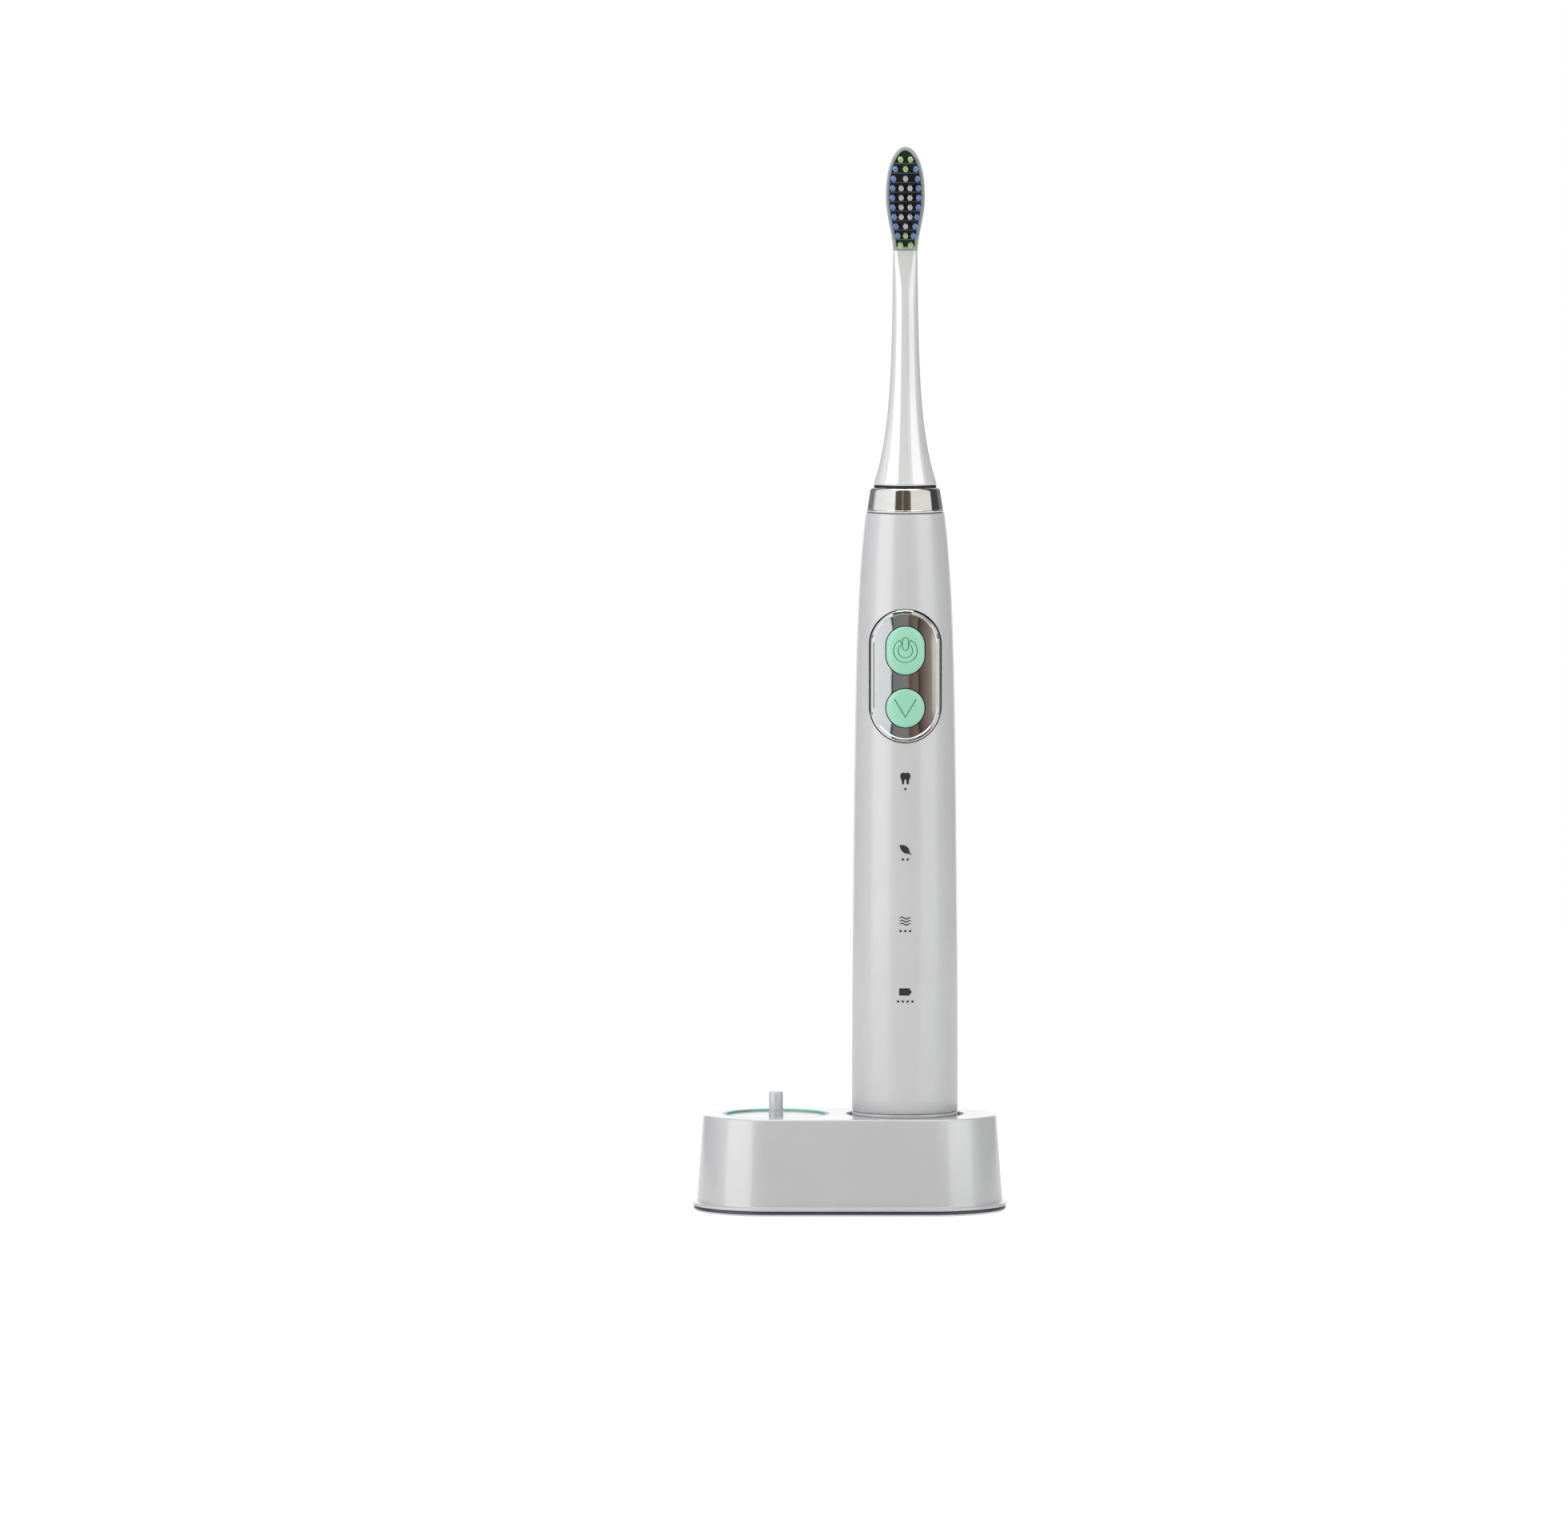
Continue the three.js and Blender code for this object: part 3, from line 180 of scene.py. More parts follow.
def mapped(group, value, low, high, to_low=0.0, to_high=1.0):
    node = group.nodes.new("ShaderNodeMapRange")
    node.interpolation_type = "SMOOTHSTEP"
    for label, amount in (("From Min", low), ("From Max", high), ("To Min", to_low), ("To Max", to_high)):
        node.inputs[label].default_value = amount
    group.links.new(value, node.inputs["Value"])
    return node.outputs["Result"]


def sums(group, operation, *terms):
    node = group.nodes.new("ShaderNodeMath")
    node.operation = operation
    for socket, term in zip(node.inputs, terms):
        if isinstance(term, bpy.types.NodeSocket):
            group.links.new(term, socket)
        else:
            socket.default_value = term
    return node.outputs[0]


def blended(group, factor, first, second):
    node = group.nodes.new("ShaderNodeMix")
    node.data_type = "RGBA"
    for socket, term in ((node.inputs[0], factor), (node.inputs[6], first), (node.inputs[7], second)):
        if isinstance(term, bpy.types.NodeSocket):
            group.links.new(term, socket)
        else:
            socket.default_value = term
    return node.outputs[2]


# Moulded plastic: a faint flow mottle in the colour, a fine skin grain, and finger marks in the gloss.
GRAIN_IN_GLOSS = 0.03

moulded_skin, skin_in, skin_out, skin_place = effect(
    "moulded skin",
    [("Colour", "NodeSocketColor", (0.8, 0.8, 0.8, 1)), ("Shade", "NodeSocketColor", (0.7, 0.7, 0.7, 1)),
     ("Roughness", "NodeSocketFloat", 0.3), ("Marks", "NodeSocketFloat", 0.1),
     ("Grain", "NodeSocketFloat", 900)],
    [("Colour", "NodeSocketColor"), ("Roughness", "NodeSocketFloat"), ("Height", "NodeSocketFloat")])
flow = mapped(moulded_skin, noise(moulded_skin, skin_place, 55, 3, 0.6), 0.35, 0.7)
fingers = mapped(moulded_skin, noise(moulded_skin, skin_place, 140, 5, 1.2), 0.45, 0.75)
skin_grain = noise(moulded_skin, skin_place, skin_in["Grain"], 4)
moulded_skin.links.new(blended(moulded_skin, flow, skin_in["Colour"], skin_in["Shade"]), skin_out["Colour"])
gloss = sums(moulded_skin, "MULTIPLY_ADD", fingers, skin_in["Marks"], skin_in["Roughness"])
gloss = sums(moulded_skin, "MULTIPLY_ADD", skin_grain, GRAIN_IN_GLOSS, gloss)
moulded_skin.links.new(gloss, skin_out["Roughness"])
moulded_skin.links.new(skin_grain, skin_out["Height"])


def plastic(name, colour, shade, roughness, marks=0.06, grain=900, depth=0.004, coat=0.0, level=0.5):
    material = bpy.data.materials.new(name)
    material.use_nodes = True
    tree = material.node_tree
    shader = tree.nodes["Principled BSDF"]
    skin = tree.nodes.new("ShaderNodeGroup")
    skin.node_tree = moulded_skin
    skin.inputs["Colour"].default_value = (*colour, 1)
    skin.inputs["Shade"].default_value = (*shade, 1)
    skin.inputs["Roughness"].default_value = roughness
    skin.inputs["Marks"].default_value = marks
    skin.inputs["Grain"].default_value = grain
    bump = tree.nodes.new("ShaderNodeBump")
    bump.inputs["Strength"].default_value = 1
    bump.inputs["Distance"].default_value = depth * MM
    tree.links.new(skin.outputs["Height"], bump.inputs["Height"])
    tree.links.new(skin.outputs["Colour"], shader.inputs["Base Color"])
    tree.links.new(skin.outputs["Roughness"], shader.inputs["Roughness"])
    tree.links.new(bump.outputs["Normal"], shader.inputs["Normal"])
    shader.inputs["Coat Weight"].default_value = coat
    shader.inputs["Coat Roughness"].default_value = 0.09
    shader.inputs["Specular IOR Level"].default_value = level
    return material


navy_plastic = plastic("navy plastic", (0.045, 0.04, 0.09), (0.03, 0.028, 0.06), 0.42,
                       grain=1400, depth=0.008)

tray = oval_body([(0, 0.5), (20.3, 0.5, 0.15), (20.3, 1.25, 0.15), (17.3, 1.3), (17.3, 2.6, 0.2), (0, 2.6)])
for place in FOOT_PLACES:
    tray = joined(tray, moved(turned([(0, 0), (3.6, 0), (3.6, 1.4), (0, 1.4)], 32), *place), "DIFFERENCE")
for place in SCREW_PLACES:
    well = turned([(0, 0), (2.5, 0), (2.5, 1.7), (1.4, 1.7), (1.4, 4), (0, 4)], 32)
    tray = joined(tray, moved(well, *place), "DIFFERENCE")
base_tray = finished("base_tray", tray, navy_plastic)
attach(base_tray, "charger")
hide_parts("charger_base_plate")

# ---- Feet ----
# Four round rubber feet, pressed into recesses of the tray. Each has a rounded rim and a shallow cup in its
# underside, so that it grips a wet shelf.

foot_rubber = plastic("foot rubber", (0.022, 0.022, 0.025), (0.035, 0.034, 0.036), 0.72, 0.12, 2600, 0.02)

for number, place in enumerate(FOOT_PLACES, 1):
    foot = turned([
        (0, 0.25), (1.6, 0.25, 0.3), (2.1, 0, 0.3), (3.5, 0, 0.35), (3.5, 1.3, 0.1), (0, 1.3)], 40)
    pad = finished(f"grip_foot_{number}", moved(foot, *place), foot_rubber)
    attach(pad, "charger")
    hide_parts(f"rubber_foot_{number}")

# ---- Charger housing ----
# Glossy white shell with drafted sides and a narrow lip at its foot, moulded in one piece with the charging
# post. Its flat top has two shallow round places, for the handle and for a spare head.

HANDLE_X = 14.4
PEG_X = -19.3
TOP = 25.2
ROOF = 23.2
ROOF_ROOT = ROOF + 0.5
PLACE_FLOOR = 24.7
SEAT_RADIUS = 15.35
PEG_PLACE_RADIUS = 13.9
RING_WIDTH = 0.9
RING_FOOT = 24.1
POST_RADIUS = 4.3
POST_BORE = 3.1
POST_TOP = 34.2
POST_ROOF = 33
PEG_RADIUS = 1.9
SCREW_BORE = 1.25

gloss_white = plastic("gloss white", (0.42, 0.42, 0.43), (0.405, 0.405, 0.415), 0.29,
                      0.03, 500, 0.0002, 0.6, 0.8)

shell = oval_body([
    (17.6, 1.4), (20.65, 1.4, 0.2), (20.65, 2.2, 0.3), (19.5, 2.3, 0.25), (19.42, 3.6), (17.85, TOP, 0.6),
    (16.6, TOP), (0, TOP), (0, ROOF), (15.95, ROOF, 0.5), (17.55, 2), (17.6, 1.4)])
for radius, x in ((SEAT_RADIUS, HANDLE_X), (PEG_PLACE_RADIUS, PEG_X)):
    inner, outer = radius - RING_WIDTH - 0.05, radius + 0.05
    place_cut = turned([(0, PLACE_FLOOR), (inner, PLACE_FLOOR), (inner, RING_FOOT - 0.05),
                        (outer, RING_FOOT - 0.05), (outer, TOP + 2), (0, TOP + 2)], 96)
    shell = joined(shell, moved(place_cut, x), "DIFFERENCE")
post = turned([(0, POST_ROOF), (POST_BORE, POST_ROOF), (POST_BORE, ROOF - 0.1), (POST_RADIUS, ROOF - 0.1),
               (POST_RADIUS, POST_TOP, 0.9), (0, POST_TOP)], 48)
shell = joined(shell, moved(post, HANDLE_X), "UNION")
post_bore = turned([(0, ROOF - 1), (POST_BORE, ROOF - 1), (POST_BORE, POST_ROOF), (0, POST_ROOF)], 48)
shell = joined(shell, moved(post_bore, HANDLE_X), "DIFFERENCE")
peg_boss = turned([(0, 19.2), (3.8, 19.2, 0.3), (3.8, ROOF_ROOT), (0, ROOF_ROOT)], 40)
shell = joined(shell, moved(peg_boss, PEG_X), "UNION")
peg_hole = turned([(0, 18.2), (SCREW_BORE, 18.2), (SCREW_BORE, 20.2), (PEG_RADIUS + 0.1, 20.2),
                   (PEG_RADIUS + 0.1, TOP + 2), (0, TOP + 2)], 40)
shell = joined(shell, moved(peg_hole, PEG_X), "DIFFERENCE")
for place in SCREW_PLACES:
    boss = turned([(0, 2.8), (3.3, 2.8, 0.3), (3.3, ROOF_ROOT), (0, ROOF_ROOT)], 32)
    shell = joined(shell, moved(boss, *place), "UNION")
    screw_hole = turned([(0, 2), (1.2, 2), (1.2, 9.7), (0, 9.7)], 32)
    shell = joined(shell, moved(screw_hole, *place), "DIFFERENCE")


def oval_face(width, height, x, z, segments=64):
    """One flat face that looks forward: an oval with straight sides, or a circle when both sizes agree."""
    sheet = bmesh.new()
    radius = min(width, height) / 2
    turn = Matrix.Rotation(math.pi / 2, 4, "X") @ Matrix.Rotation(math.pi / segments, 4, "Z")
    bmesh.ops.create_circle(sheet, cap_ends=True, radius=radius, segments=segments, matrix=turn)
    for side in (-1, 1):
        across = [vert for vert in sheet.verts if vert.co.x * side > 0]
        bmesh.ops.translate(sheet, verts=across, vec=(side * (width / 2 - radius), 0, 0))
        along = [vert for vert in sheet.verts if vert.co.z * side > 0]
        bmesh.ops.translate(sheet, verts=along, vec=(0, 0, side * (height / 2 - radius)))
    return moved(sheet, x, 0, z)


def thickened(sheet, back, front):
    """Gives a forward-looking face its thickness. Its front face is returned with it."""
    moved(sheet, 0, back)
    grown = bmesh.ops.extrude_face_region(sheet, geom=sheet.faces[:])["geom"]
    bmesh.ops.translate(sheet, verts=[item for item in grown if isinstance(item, bmesh.types.BMVert)],
                        vec=(0, front - back, 0))
    bmesh.ops.recalc_face_normals(sheet, faces=sheet.faces)
    return sheet


shell = joined(shell, thickened(oval_face(9.6, 3.8, -4, 9), 25, 14), "DIFFERENCE")
charger_shell = finished("charger_shell", shell, gloss_white, 30)
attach(charger_shell, "charger")
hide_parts("charger_housing")

# ---- Place rings ----
# Two thin rings pressed into the edges of the two places. The spare head's is mint green and shows as a thin
# line;
# the handle's is soft, so that the handle stands without a rattle, and its dark grey is painted shade for the
# crevice round the handle's foot.

mint_ring_plastic = plastic("mint ring", (0.16, 0.42, 0.36), (0.13, 0.37, 0.32), 0.32, grain=1800)
# Dark grey for the handle's ring: painted shade for the crevice round the handle's foot.
seat_grey_and_crevice_shade = plastic("seat grey and crevice shade", (0.24, 0.24, 0.25), (0.19, 0.19, 0.2), 0.6, grain=2200, depth=0.012)

for name, node, slot, radius, x, finish in (
        ("spare_place_ring", "peg_ring", "teal_plastic", PEG_PLACE_RADIUS, PEG_X, mint_ring_plastic),
        ("handle_place_ring", "seat_ring", "grey_plastic", SEAT_RADIUS, HANDLE_X, seat_grey_and_crevice_shade)):
    inner = radius - RING_WIDTH
    band = turned([(inner, RING_FOOT), (radius, RING_FOOT, 0.1), (radius, TOP, 0.12), (inner, TOP, 0.25),
                   (inner, RING_FOOT)], 96)
    lining = finished(name, moved(band, x), finish)
    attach(lining, "charger")
    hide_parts(node)

# ---- Spare head peg ----
# Light grey turned pin with a domed end and a fine groove near its foot. A screw from below holds it in its
# boss. It marks the place where a spare head is meant to stand.

peg_grey = plastic("peg grey", (0.5, 0.51, 0.52), (0.45, 0.46, 0.47), 0.16, 0.06, 1500, 0.004, 0.6)

PEG_TOP = 31.2
GROOVE = 26
GROOVE_DEPTH = 0.16

groove_radius = PEG_RADIUS - GROOVE_DEPTH
pin = turned([(0, 20.3), (PEG_RADIUS, 20.3, 0.2), (PEG_RADIUS, GROOVE), (groove_radius, GROOVE + 0.1, 0.04),
              (groove_radius, GROOVE + 0.3, 0.04), (PEG_RADIUS, GROOVE + 0.4), (PEG_RADIUS, PEG_TOP, 0.7),
              (0, PEG_TOP)], 48)
pin_bore = turned([(0, 19), (SCREW_BORE, 19), (SCREW_BORE, 24.6), (0, 24.6)], 32)
pin = joined(pin, pin_bore, "DIFFERENCE")
peg = finished("spare_head_peg", moved(pin, PEG_X), peg_grey)
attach(peg, "charger")
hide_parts("holder_peg")

# ---- Inside the charger ----
# A ferrite rod stands in the post with the wound coil round its foot. The coil is fed by a small board
# with its capacitor, which takes power from the inlet in the back wall. These keep their machined shapes.

# Metal: drawn along its length with fine lines, with a dull patchy bloom.
drawn_metal, metal_in, metal_out, metal_place = effect(
    "drawn metal",
    [("Colour", "NodeSocketColor", (0.6, 0.6, 0.6, 1)), ("Bloom and shade", "NodeSocketColor", (0.5, 0.5, 0.5, 1)),
     ("Roughness", "NodeSocketFloat", 0.2), ("Spread", "NodeSocketFloat", 0.1),
     ("Lines", "NodeSocketFloat", 40)],
    [("Colour", "NodeSocketColor"), ("Roughness", "NodeSocketFloat"), ("Height", "NodeSocketFloat")])
stretch = drawn_metal.nodes.new("ShaderNodeMapping")
stretch.inputs["Scale"].default_value = (60, 60, 1.5)
drawn_metal.links.new(metal_place, stretch.inputs["Vector"])
lines = noise(drawn_metal, stretch.outputs["Vector"], metal_in["Lines"], 3)
bloom = mapped(drawn_metal, noise(drawn_metal, metal_place, 160, 5, 1.0), 0.4, 0.75)
tarnish = blended(drawn_metal, bloom, metal_in["Colour"], metal_in["Bloom and shade"])
drawn_metal.links.new(tarnish, metal_out["Colour"])
rub = sums(drawn_metal, "MULTIPLY_ADD", bloom, metal_in["Spread"], metal_in["Roughness"])
rub = sums(drawn_metal, "MULTIPLY_ADD", lines, GRAIN_IN_GLOSS, rub)
drawn_metal.links.new(rub, metal_out["Roughness"])
drawn_metal.links.new(lines, metal_out["Height"])


def metal(name, colour, bloom_and_shade_colour, roughness, spread, depth=0.002, group=drawn_metal):
    material = bpy.data.materials.new(name)
    material.use_nodes = True
    tree = material.node_tree
    shader = tree.nodes["Principled BSDF"]
    face = tree.nodes.new("ShaderNodeGroup")
    face.node_tree = group
    face.inputs["Colour"].default_value = (*colour, 1)
    face.inputs["Bloom and shade"].default_value = (*bloom_and_shade_colour, 1)
    face.inputs["Roughness"].default_value = roughness
    face.inputs["Spread"].default_value = spread
    bump = tree.nodes.new("ShaderNodeBump")
    bump.inputs["Distance"].default_value = depth * MM
    tree.links.new(face.outputs["Height"], bump.inputs["Height"])
    tree.links.new(face.outputs["Colour"], shader.inputs["Base Color"])
    tree.links.new(face.outputs["Roughness"], shader.inputs["Roughness"])
    tree.links.new(bump.outputs["Normal"], shader.inputs["Normal"])
    shader.inputs["Metallic"].default_value = 1
    return material


# Wound wire: turns stacked along the height. The colour paints a highlight on the crown of each turn and shade
# in the hollows between the turns.
wire_turns, wire_in, wire_out, wire_place = effect(
    "wire turns",
    [("Colour", "NodeSocketColor", (0.6, 0.3, 0.15, 1)), ("Bloom and shade", "NodeSocketColor", (0.3, 0.12, 0.05, 1)),
     ("Roughness", "NodeSocketFloat", 0.3), ("Spread", "NodeSocketFloat", 0.2)],
    [("Colour", "NodeSocketColor"), ("Roughness", "NodeSocketFloat"), ("Height", "NodeSocketFloat")])
turns = wire_turns.nodes.new("ShaderNodeTexWave")
turns.bands_direction = "Z"
turns.inputs["Scale"].default_value = 900
turns.inputs["Distortion"].default_value = 0.4
wire_turns.links.new(wire_place, turns.inputs["Vector"])
crown = turns.outputs["Fac"]
# Painted light: the crowns take the bright colour as a painted highlight, and the hollows take the dark one as
# painted shade.
wire_turns.links.new(blended(wire_turns, crown, wire_in["Bloom and shade"], wire_in["Colour"]), wire_out["Colour"])
valley = sums(wire_turns, "SUBTRACT", 1.0, crown)
dull = sums(wire_turns, "MULTIPLY_ADD", valley, wire_in["Spread"], wire_in["Roughness"])
wire_turns.links.new(dull, wire_out["Roughness"])
wire_turns.links.new(crown, wire_out["Height"])

plated_steel = metal("plated steel", (0.55, 0.56, 0.58), (0.42, 0.42, 0.43), 0.29, 0.14)
# The copper wire's second colour is painted shade for the hollows between the turns.
copper_wire = metal("copper wire", (0.72, 0.33, 0.16), (0.25, 0.08, 0.03), 0.28, 0.3, 0.08, wire_turns)
ferrite_grey = plastic("ferrite", (0.05, 0.05, 0.055), (0.085, 0.08, 0.08), 0.5, 0.2, 3500, 0.02)
black_nylon = plastic("black nylon", (0.02, 0.02, 0.022), (0.03, 0.03, 0.033), 0.45, 0.12, 1600, 0.01)

# Printed board: green lacquer over a raised maze of copper tracks.
board_lacquer = bpy.data.materials.new("board lacquer")
board_lacquer.use_nodes = True
lacquer = board_lacquer.node_tree
lacquer_shader = lacquer.nodes["Principled BSDF"]
board_place = lacquer.nodes.new("ShaderNodeTexCoord").outputs["Object"]
tracks = lacquer.nodes.new("ShaderNodeTexBrick")
tracks.inputs["Scale"].default_value = 260
tracks.inputs["Mortar Size"].default_value = 0.05
tracks.inputs["Color1"].default_value = (0.015, 0.13, 0.06, 1)
tracks.inputs["Color2"].default_value = (0.012, 0.1, 0.05, 1)
tracks.inputs["Mortar"].default_value = (0.05, 0.26, 0.11, 1)
lacquer.links.new(board_place, tracks.inputs["Vector"])
lacquer.links.new(tracks.outputs["Color"], lacquer_shader.inputs["Base Color"])
lacquer_gloss = mapped(lacquer, noise(lacquer, board_place, 300, 4), 0.3, 0.7, 0.22, 0.4)
lacquer.links.new(lacquer_gloss, lacquer_shader.inputs["Roughness"])
track_bump = lacquer.nodes.new("ShaderNodeBump")
track_bump.inputs["Distance"].default_value = 0.03 * MM
lacquer.links.new(tracks.outputs["Fac"], track_bump.inputs["Height"])
lacquer.links.new(track_bump.outputs["Normal"], lacquer_shader.inputs["Normal"])


def dressed(material, slot, *names):
    """Gives pieces kept as they are their finish, and smooths their round faces."""
    for name in names:
        node = frame["nodes"][name]
        node.data.materials.clear()
        node.data.materials.append(material)
        for face in node.data.polygons:
            face.use_smooth = True
        node.modifiers.new("weld", "WELD").merge_threshold = 0.000001
        node.modifiers.new("corners", "EDGE_SPLIT").split_angle = math.radians(35)


dressed(plated_steel, "steel", "base_screw_1", "base_screw_2", "peg_screw", "power_inlet")
dressed(ferrite_grey, "ferrite", "post_core")
dressed(black_nylon, "black_plastic", "coil_bobbin", "board_capacitor")
dressed(copper_wire, "winding", "primary_coil")
dressed(board_lacquer, "board", "charger_board")

# ---- End cap ----
# Satin cap with a soft seal round it, pushed into the open foot of the handle. Its middle rises as a blind
# hole, which stands over the charging post.

HANDLE_FOOT = 24.8
FOOT_RADIUS = 13.9
CAP_TOP = 26
SHOULDER = 182.8
TAPER = 3.65
SLOW_TAPER = 0.28


def handle_radius(z):
    """Outside radius of the handle: nearly straight below, drawn in towards the shoulder."""
    share = min(max((z - HANDLE_FOOT) / (SHOULDER - HANDLE_FOOT), 0), 1)
    slow = min(max((share - 0.05) / 0.95, 0), 1)
    gentle = slow * slow * (3 - 2 * slow)
    return FOOT_RADIUS - TAPER * (SLOW_TAPER * gentle + (1 - SLOW_TAPER) * share ** 8)


pearl = plastic("pearl satin", (0.455, 0.455, 0.465), (0.445, 0.445, 0.455), 0.3,
                0.04, 2400, 0.0035, 0.3, 0.7)
soft_black = plastic("soft black rubber", (0.02, 0.02, 0.022), (0.032, 0.032, 0.034), 0.66, 0.1, 2600, 0.02)

cap = turned([
    (4.8, HANDLE_FOOT), (13.5, HANDLE_FOOT, 0.35), (13.85, 25.3, 0.2), (13.85, CAP_TOP, 0.1), (12, CAP_TOP),
    (12, 33.8, 0.3), (10.4, 33.8, 0.3), (10.4, 27, 0.4), (6, 27, 0.4), (6, 35.8, 0.5), (0, 35.8),
    (0, 34.6), (4.8, 34.6, 0.6), (4.8, HANDLE_FOOT)], 96)
seal_groove = turned([(11, 30.25), (13, 30.25), (13, 31.35), (11, 31.35), (11, 30.25)], 96)
cap = joined(cap, seal_groove, "DIFFERENCE")
handle_cap = finished("handle_cap", moved(cap, HANDLE_X), pearl)
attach(handle_cap, "handle")
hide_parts("end_cap")
dressed(soft_black, "rubber", "end_cap_seal")

# ---- Handle shell ----
# One long tapered tube in satin pearl plastic, open below for the cap and drawn in to a neck that
# carries the collar. An oval opening in its front takes the button panel.

PANEL_Z = 140.7
HANDLE_WALL = 1.8
TUBE_FOOT = CAP_TOP + 0.1
NECK_TOP = 188.6

outside = [(handle_radius(z), z) for z in [26.7 + 155.5 * (step / 70) ** 0.9 for step in range(71)]]
inside = [(handle_radius(z) - HANDLE_WALL, z) for z in (179.6, 171, 161, 151, 141, 131, 111, 81, 51, 26.2)]
tube = turned([
    (12.1, TUBE_FOOT), (13.6, TUBE_FOOT, 0.1), *outside, (10.2, SHOULDER - 0.1), (9.9, SHOULDER),
    (6.8, SHOULDER), (6.8, NECK_TOP), (5.2, NECK_TOP), (5.2, 180.3), *inside, (12.1, TUBE_FOOT)], 128)
tube = joined(tube, thickened(oval_face(19, 35, 0, PANEL_Z), -4, -18), "DIFFERENCE")
handle_tube = finished("handle_tube", moved(tube, HANDLE_X), pearl, 30)
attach(handle_tube, "handle")
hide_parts("handle_shell")

# ---- Printed signs ----
# Four small signs pad-printed in black on the handle: tooth, leaf, waves and battery. Under each is a
# short row of dots that numbers it. The ink stands a few hundredths of a millimetre proud.

INK_FRONT = -0.05
INK_BACK = 0.02

sign_ink = plastic("sign ink", (0.006, 0.006, 0.007), (0.012, 0.012, 0.012), 0.42, 0.1, 4000, 0.004)


def bent_round(body):
    """Bends flat work on to the front of the handle. Its depth in Y becomes height above the handle."""
    for vert in body.verts:
        reach = handle_radius(vert.co.z) - vert.co.y
        vert.co.y = -math.sqrt(reach ** 2 - vert.co.x ** 2)
    return closed(body)


def slit(body, width, height, z, step_x, step_z):
    """Cuts flat work into narrow strips, so that it bends smoothly."""
    for x in range(-int(width / 2 / step_x), int(width / 2 / step_x) + 1):
        bmesh.ops.bisect_plane(body, geom=body.verts[:] + body.edges[:] + body.faces[:], dist=0.0001,
                               plane_co=(x * step_x, 0, 0), plane_no=(1, 0, 0))
    for row in range(-int(height / 2 / step_z), int(height / 2 / step_z) + 1):
        bmesh.ops.bisect_plane(body, geom=body.verts[:] + body.edges[:] + body.faces[:], dist=0.0001,
                               plane_co=(0, 0, z + row * step_z), plane_no=(0, 0, 1))
    return body


def outline(points, z):
    """One flat face from (x, z) corners. A third number rounds that corner."""
    sheet = bmesh.new()
    corners = [sheet.verts.new((point[0], 0, point[1] + z)) for point in points]
    sheet.faces.new(corners)
    for vert, point in zip(corners, points):
        if len(point) == 3:
            bmesh.ops.bevel(sheet, geom=[vert], offset=point[2], segments=4, profile=0.5,
                            affect="VERTICES", material=-1)
    return sheet


def ribbon(z):
    """A narrow wave, tapering to points at both ends."""
    sheet = bmesh.new()
    line = [sheet.verts.new((-1.6 + 0.2 * step, 0, z + 0.24 * math.sin(step * 0.5))) for step in range(17)]
    edges = [sheet.edges.new(pair) for pair in zip(line, line[1:])]
    grown = bmesh.ops.extrude_edge_only(sheet, edges=edges)["geom"]
    upper = [item for item in grown if isinstance(item, bmesh.types.BMVert)]
    bmesh.ops.translate(sheet, verts=[vert for vert in upper if abs(vert.co.x) < 1.55], vec=(0, 0, 0.17))
    bmesh.ops.translate(sheet, verts=[vert for vert in upper if abs(vert.co.x) < 1.1], vec=(0, 0, 0.13))
    bmesh.ops.translate(sheet, verts=[vert for vert in upper if abs(vert.co.x) >= 1.55], vec=(0, 0, 0.04))
    return sheet


tooth = outline([
    (-1.35, 1.15, 0.5), (-0.6, 1.55, 0.3), (0, 1.3, 0.3), (0.6, 1.55, 0.3), (1.35, 1.15, 0.5),
    (1.3, 0.1, 0.4), (0.95, -0.5, 0.3), (0.85, -1.6, 0.15), (0.4, -1.6, 0.15), (0.22, -0.3, 0.12),
    (-0.22, -0.3, 0.12), (-0.4, -1.6, 0.15), (-0.85, -1.6, 0.15), (-0.95, -0.5, 0.3), (-1.3, 0.1, 0.4)], 114.1)
leaf = outline([
    (-1.55, 1.25), (-0.2, 1.35, 0.7), (0.95, 0.5, 0.7), (1.15, -0.75, 0.3), (1.65, -1.2, 0.05),
    (1.45, -1.35, 0.05), (0.95, -1.0, 0.2), (-0.3, -0.95, 0.6), (-1.25, 0.1, 0.6)], 95.4)
cell = outline([
    (-1.6, -0.95, 0.25), (1.2, -0.95, 0.25), (1.2, -0.5), (1.6, -0.35, 0.1), (1.6, 0.35, 0.1), (1.2, 0.5),
    (1.2, 0.95, 0.25), (-1.6, 0.95, 0.25)], 58.3)
prints = [tooth, leaf, ribbon(77.5), ribbon(76.7), ribbon(75.9), cell]
for count, z in enumerate((111.3, 92.9, 74.2, 55.8), 1):
    for dot in range(count):
        prints.append(oval_face(0.62, 0.62, (dot - (count - 1) / 2) * 1.25, z, 20))
signs = bmesh.new()
for sheet in prints:
    slit(thickened(sheet, INK_BACK, INK_FRONT), 4, 4, 0, 0.4, 9)
    bent_round(sheet)
    work = bpy.data.meshes.new("work")
    sheet.to_mesh(work)
    sheet.free()
    signs.from_mesh(work)
    bpy.data.meshes.remove(work)
mode_signs = finished("mode_signs", moved(signs, HANDLE_X), sign_ink)
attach(mode_signs, "handle")

# ---- Button panel ----
# Chrome-plated oval plate with a raised rim, set into the opening of the shell with a fine dark gap
# round it. Two holes in it guide the buttons.

POWER_Z = 147.4
MODE_Z = 132.4

chrome = metal("chrome plating", (0.78, 0.78, 0.77), (0.74, 0.74, 0.73), 0.035, 0.03, 0.0006)

PANEL_WIDTH = 18.4
PANEL_HEIGHT = 34.4
POWER_HEIGHT = 12.5
BUTTON_WIDTH = 10
PLAY = 0.5

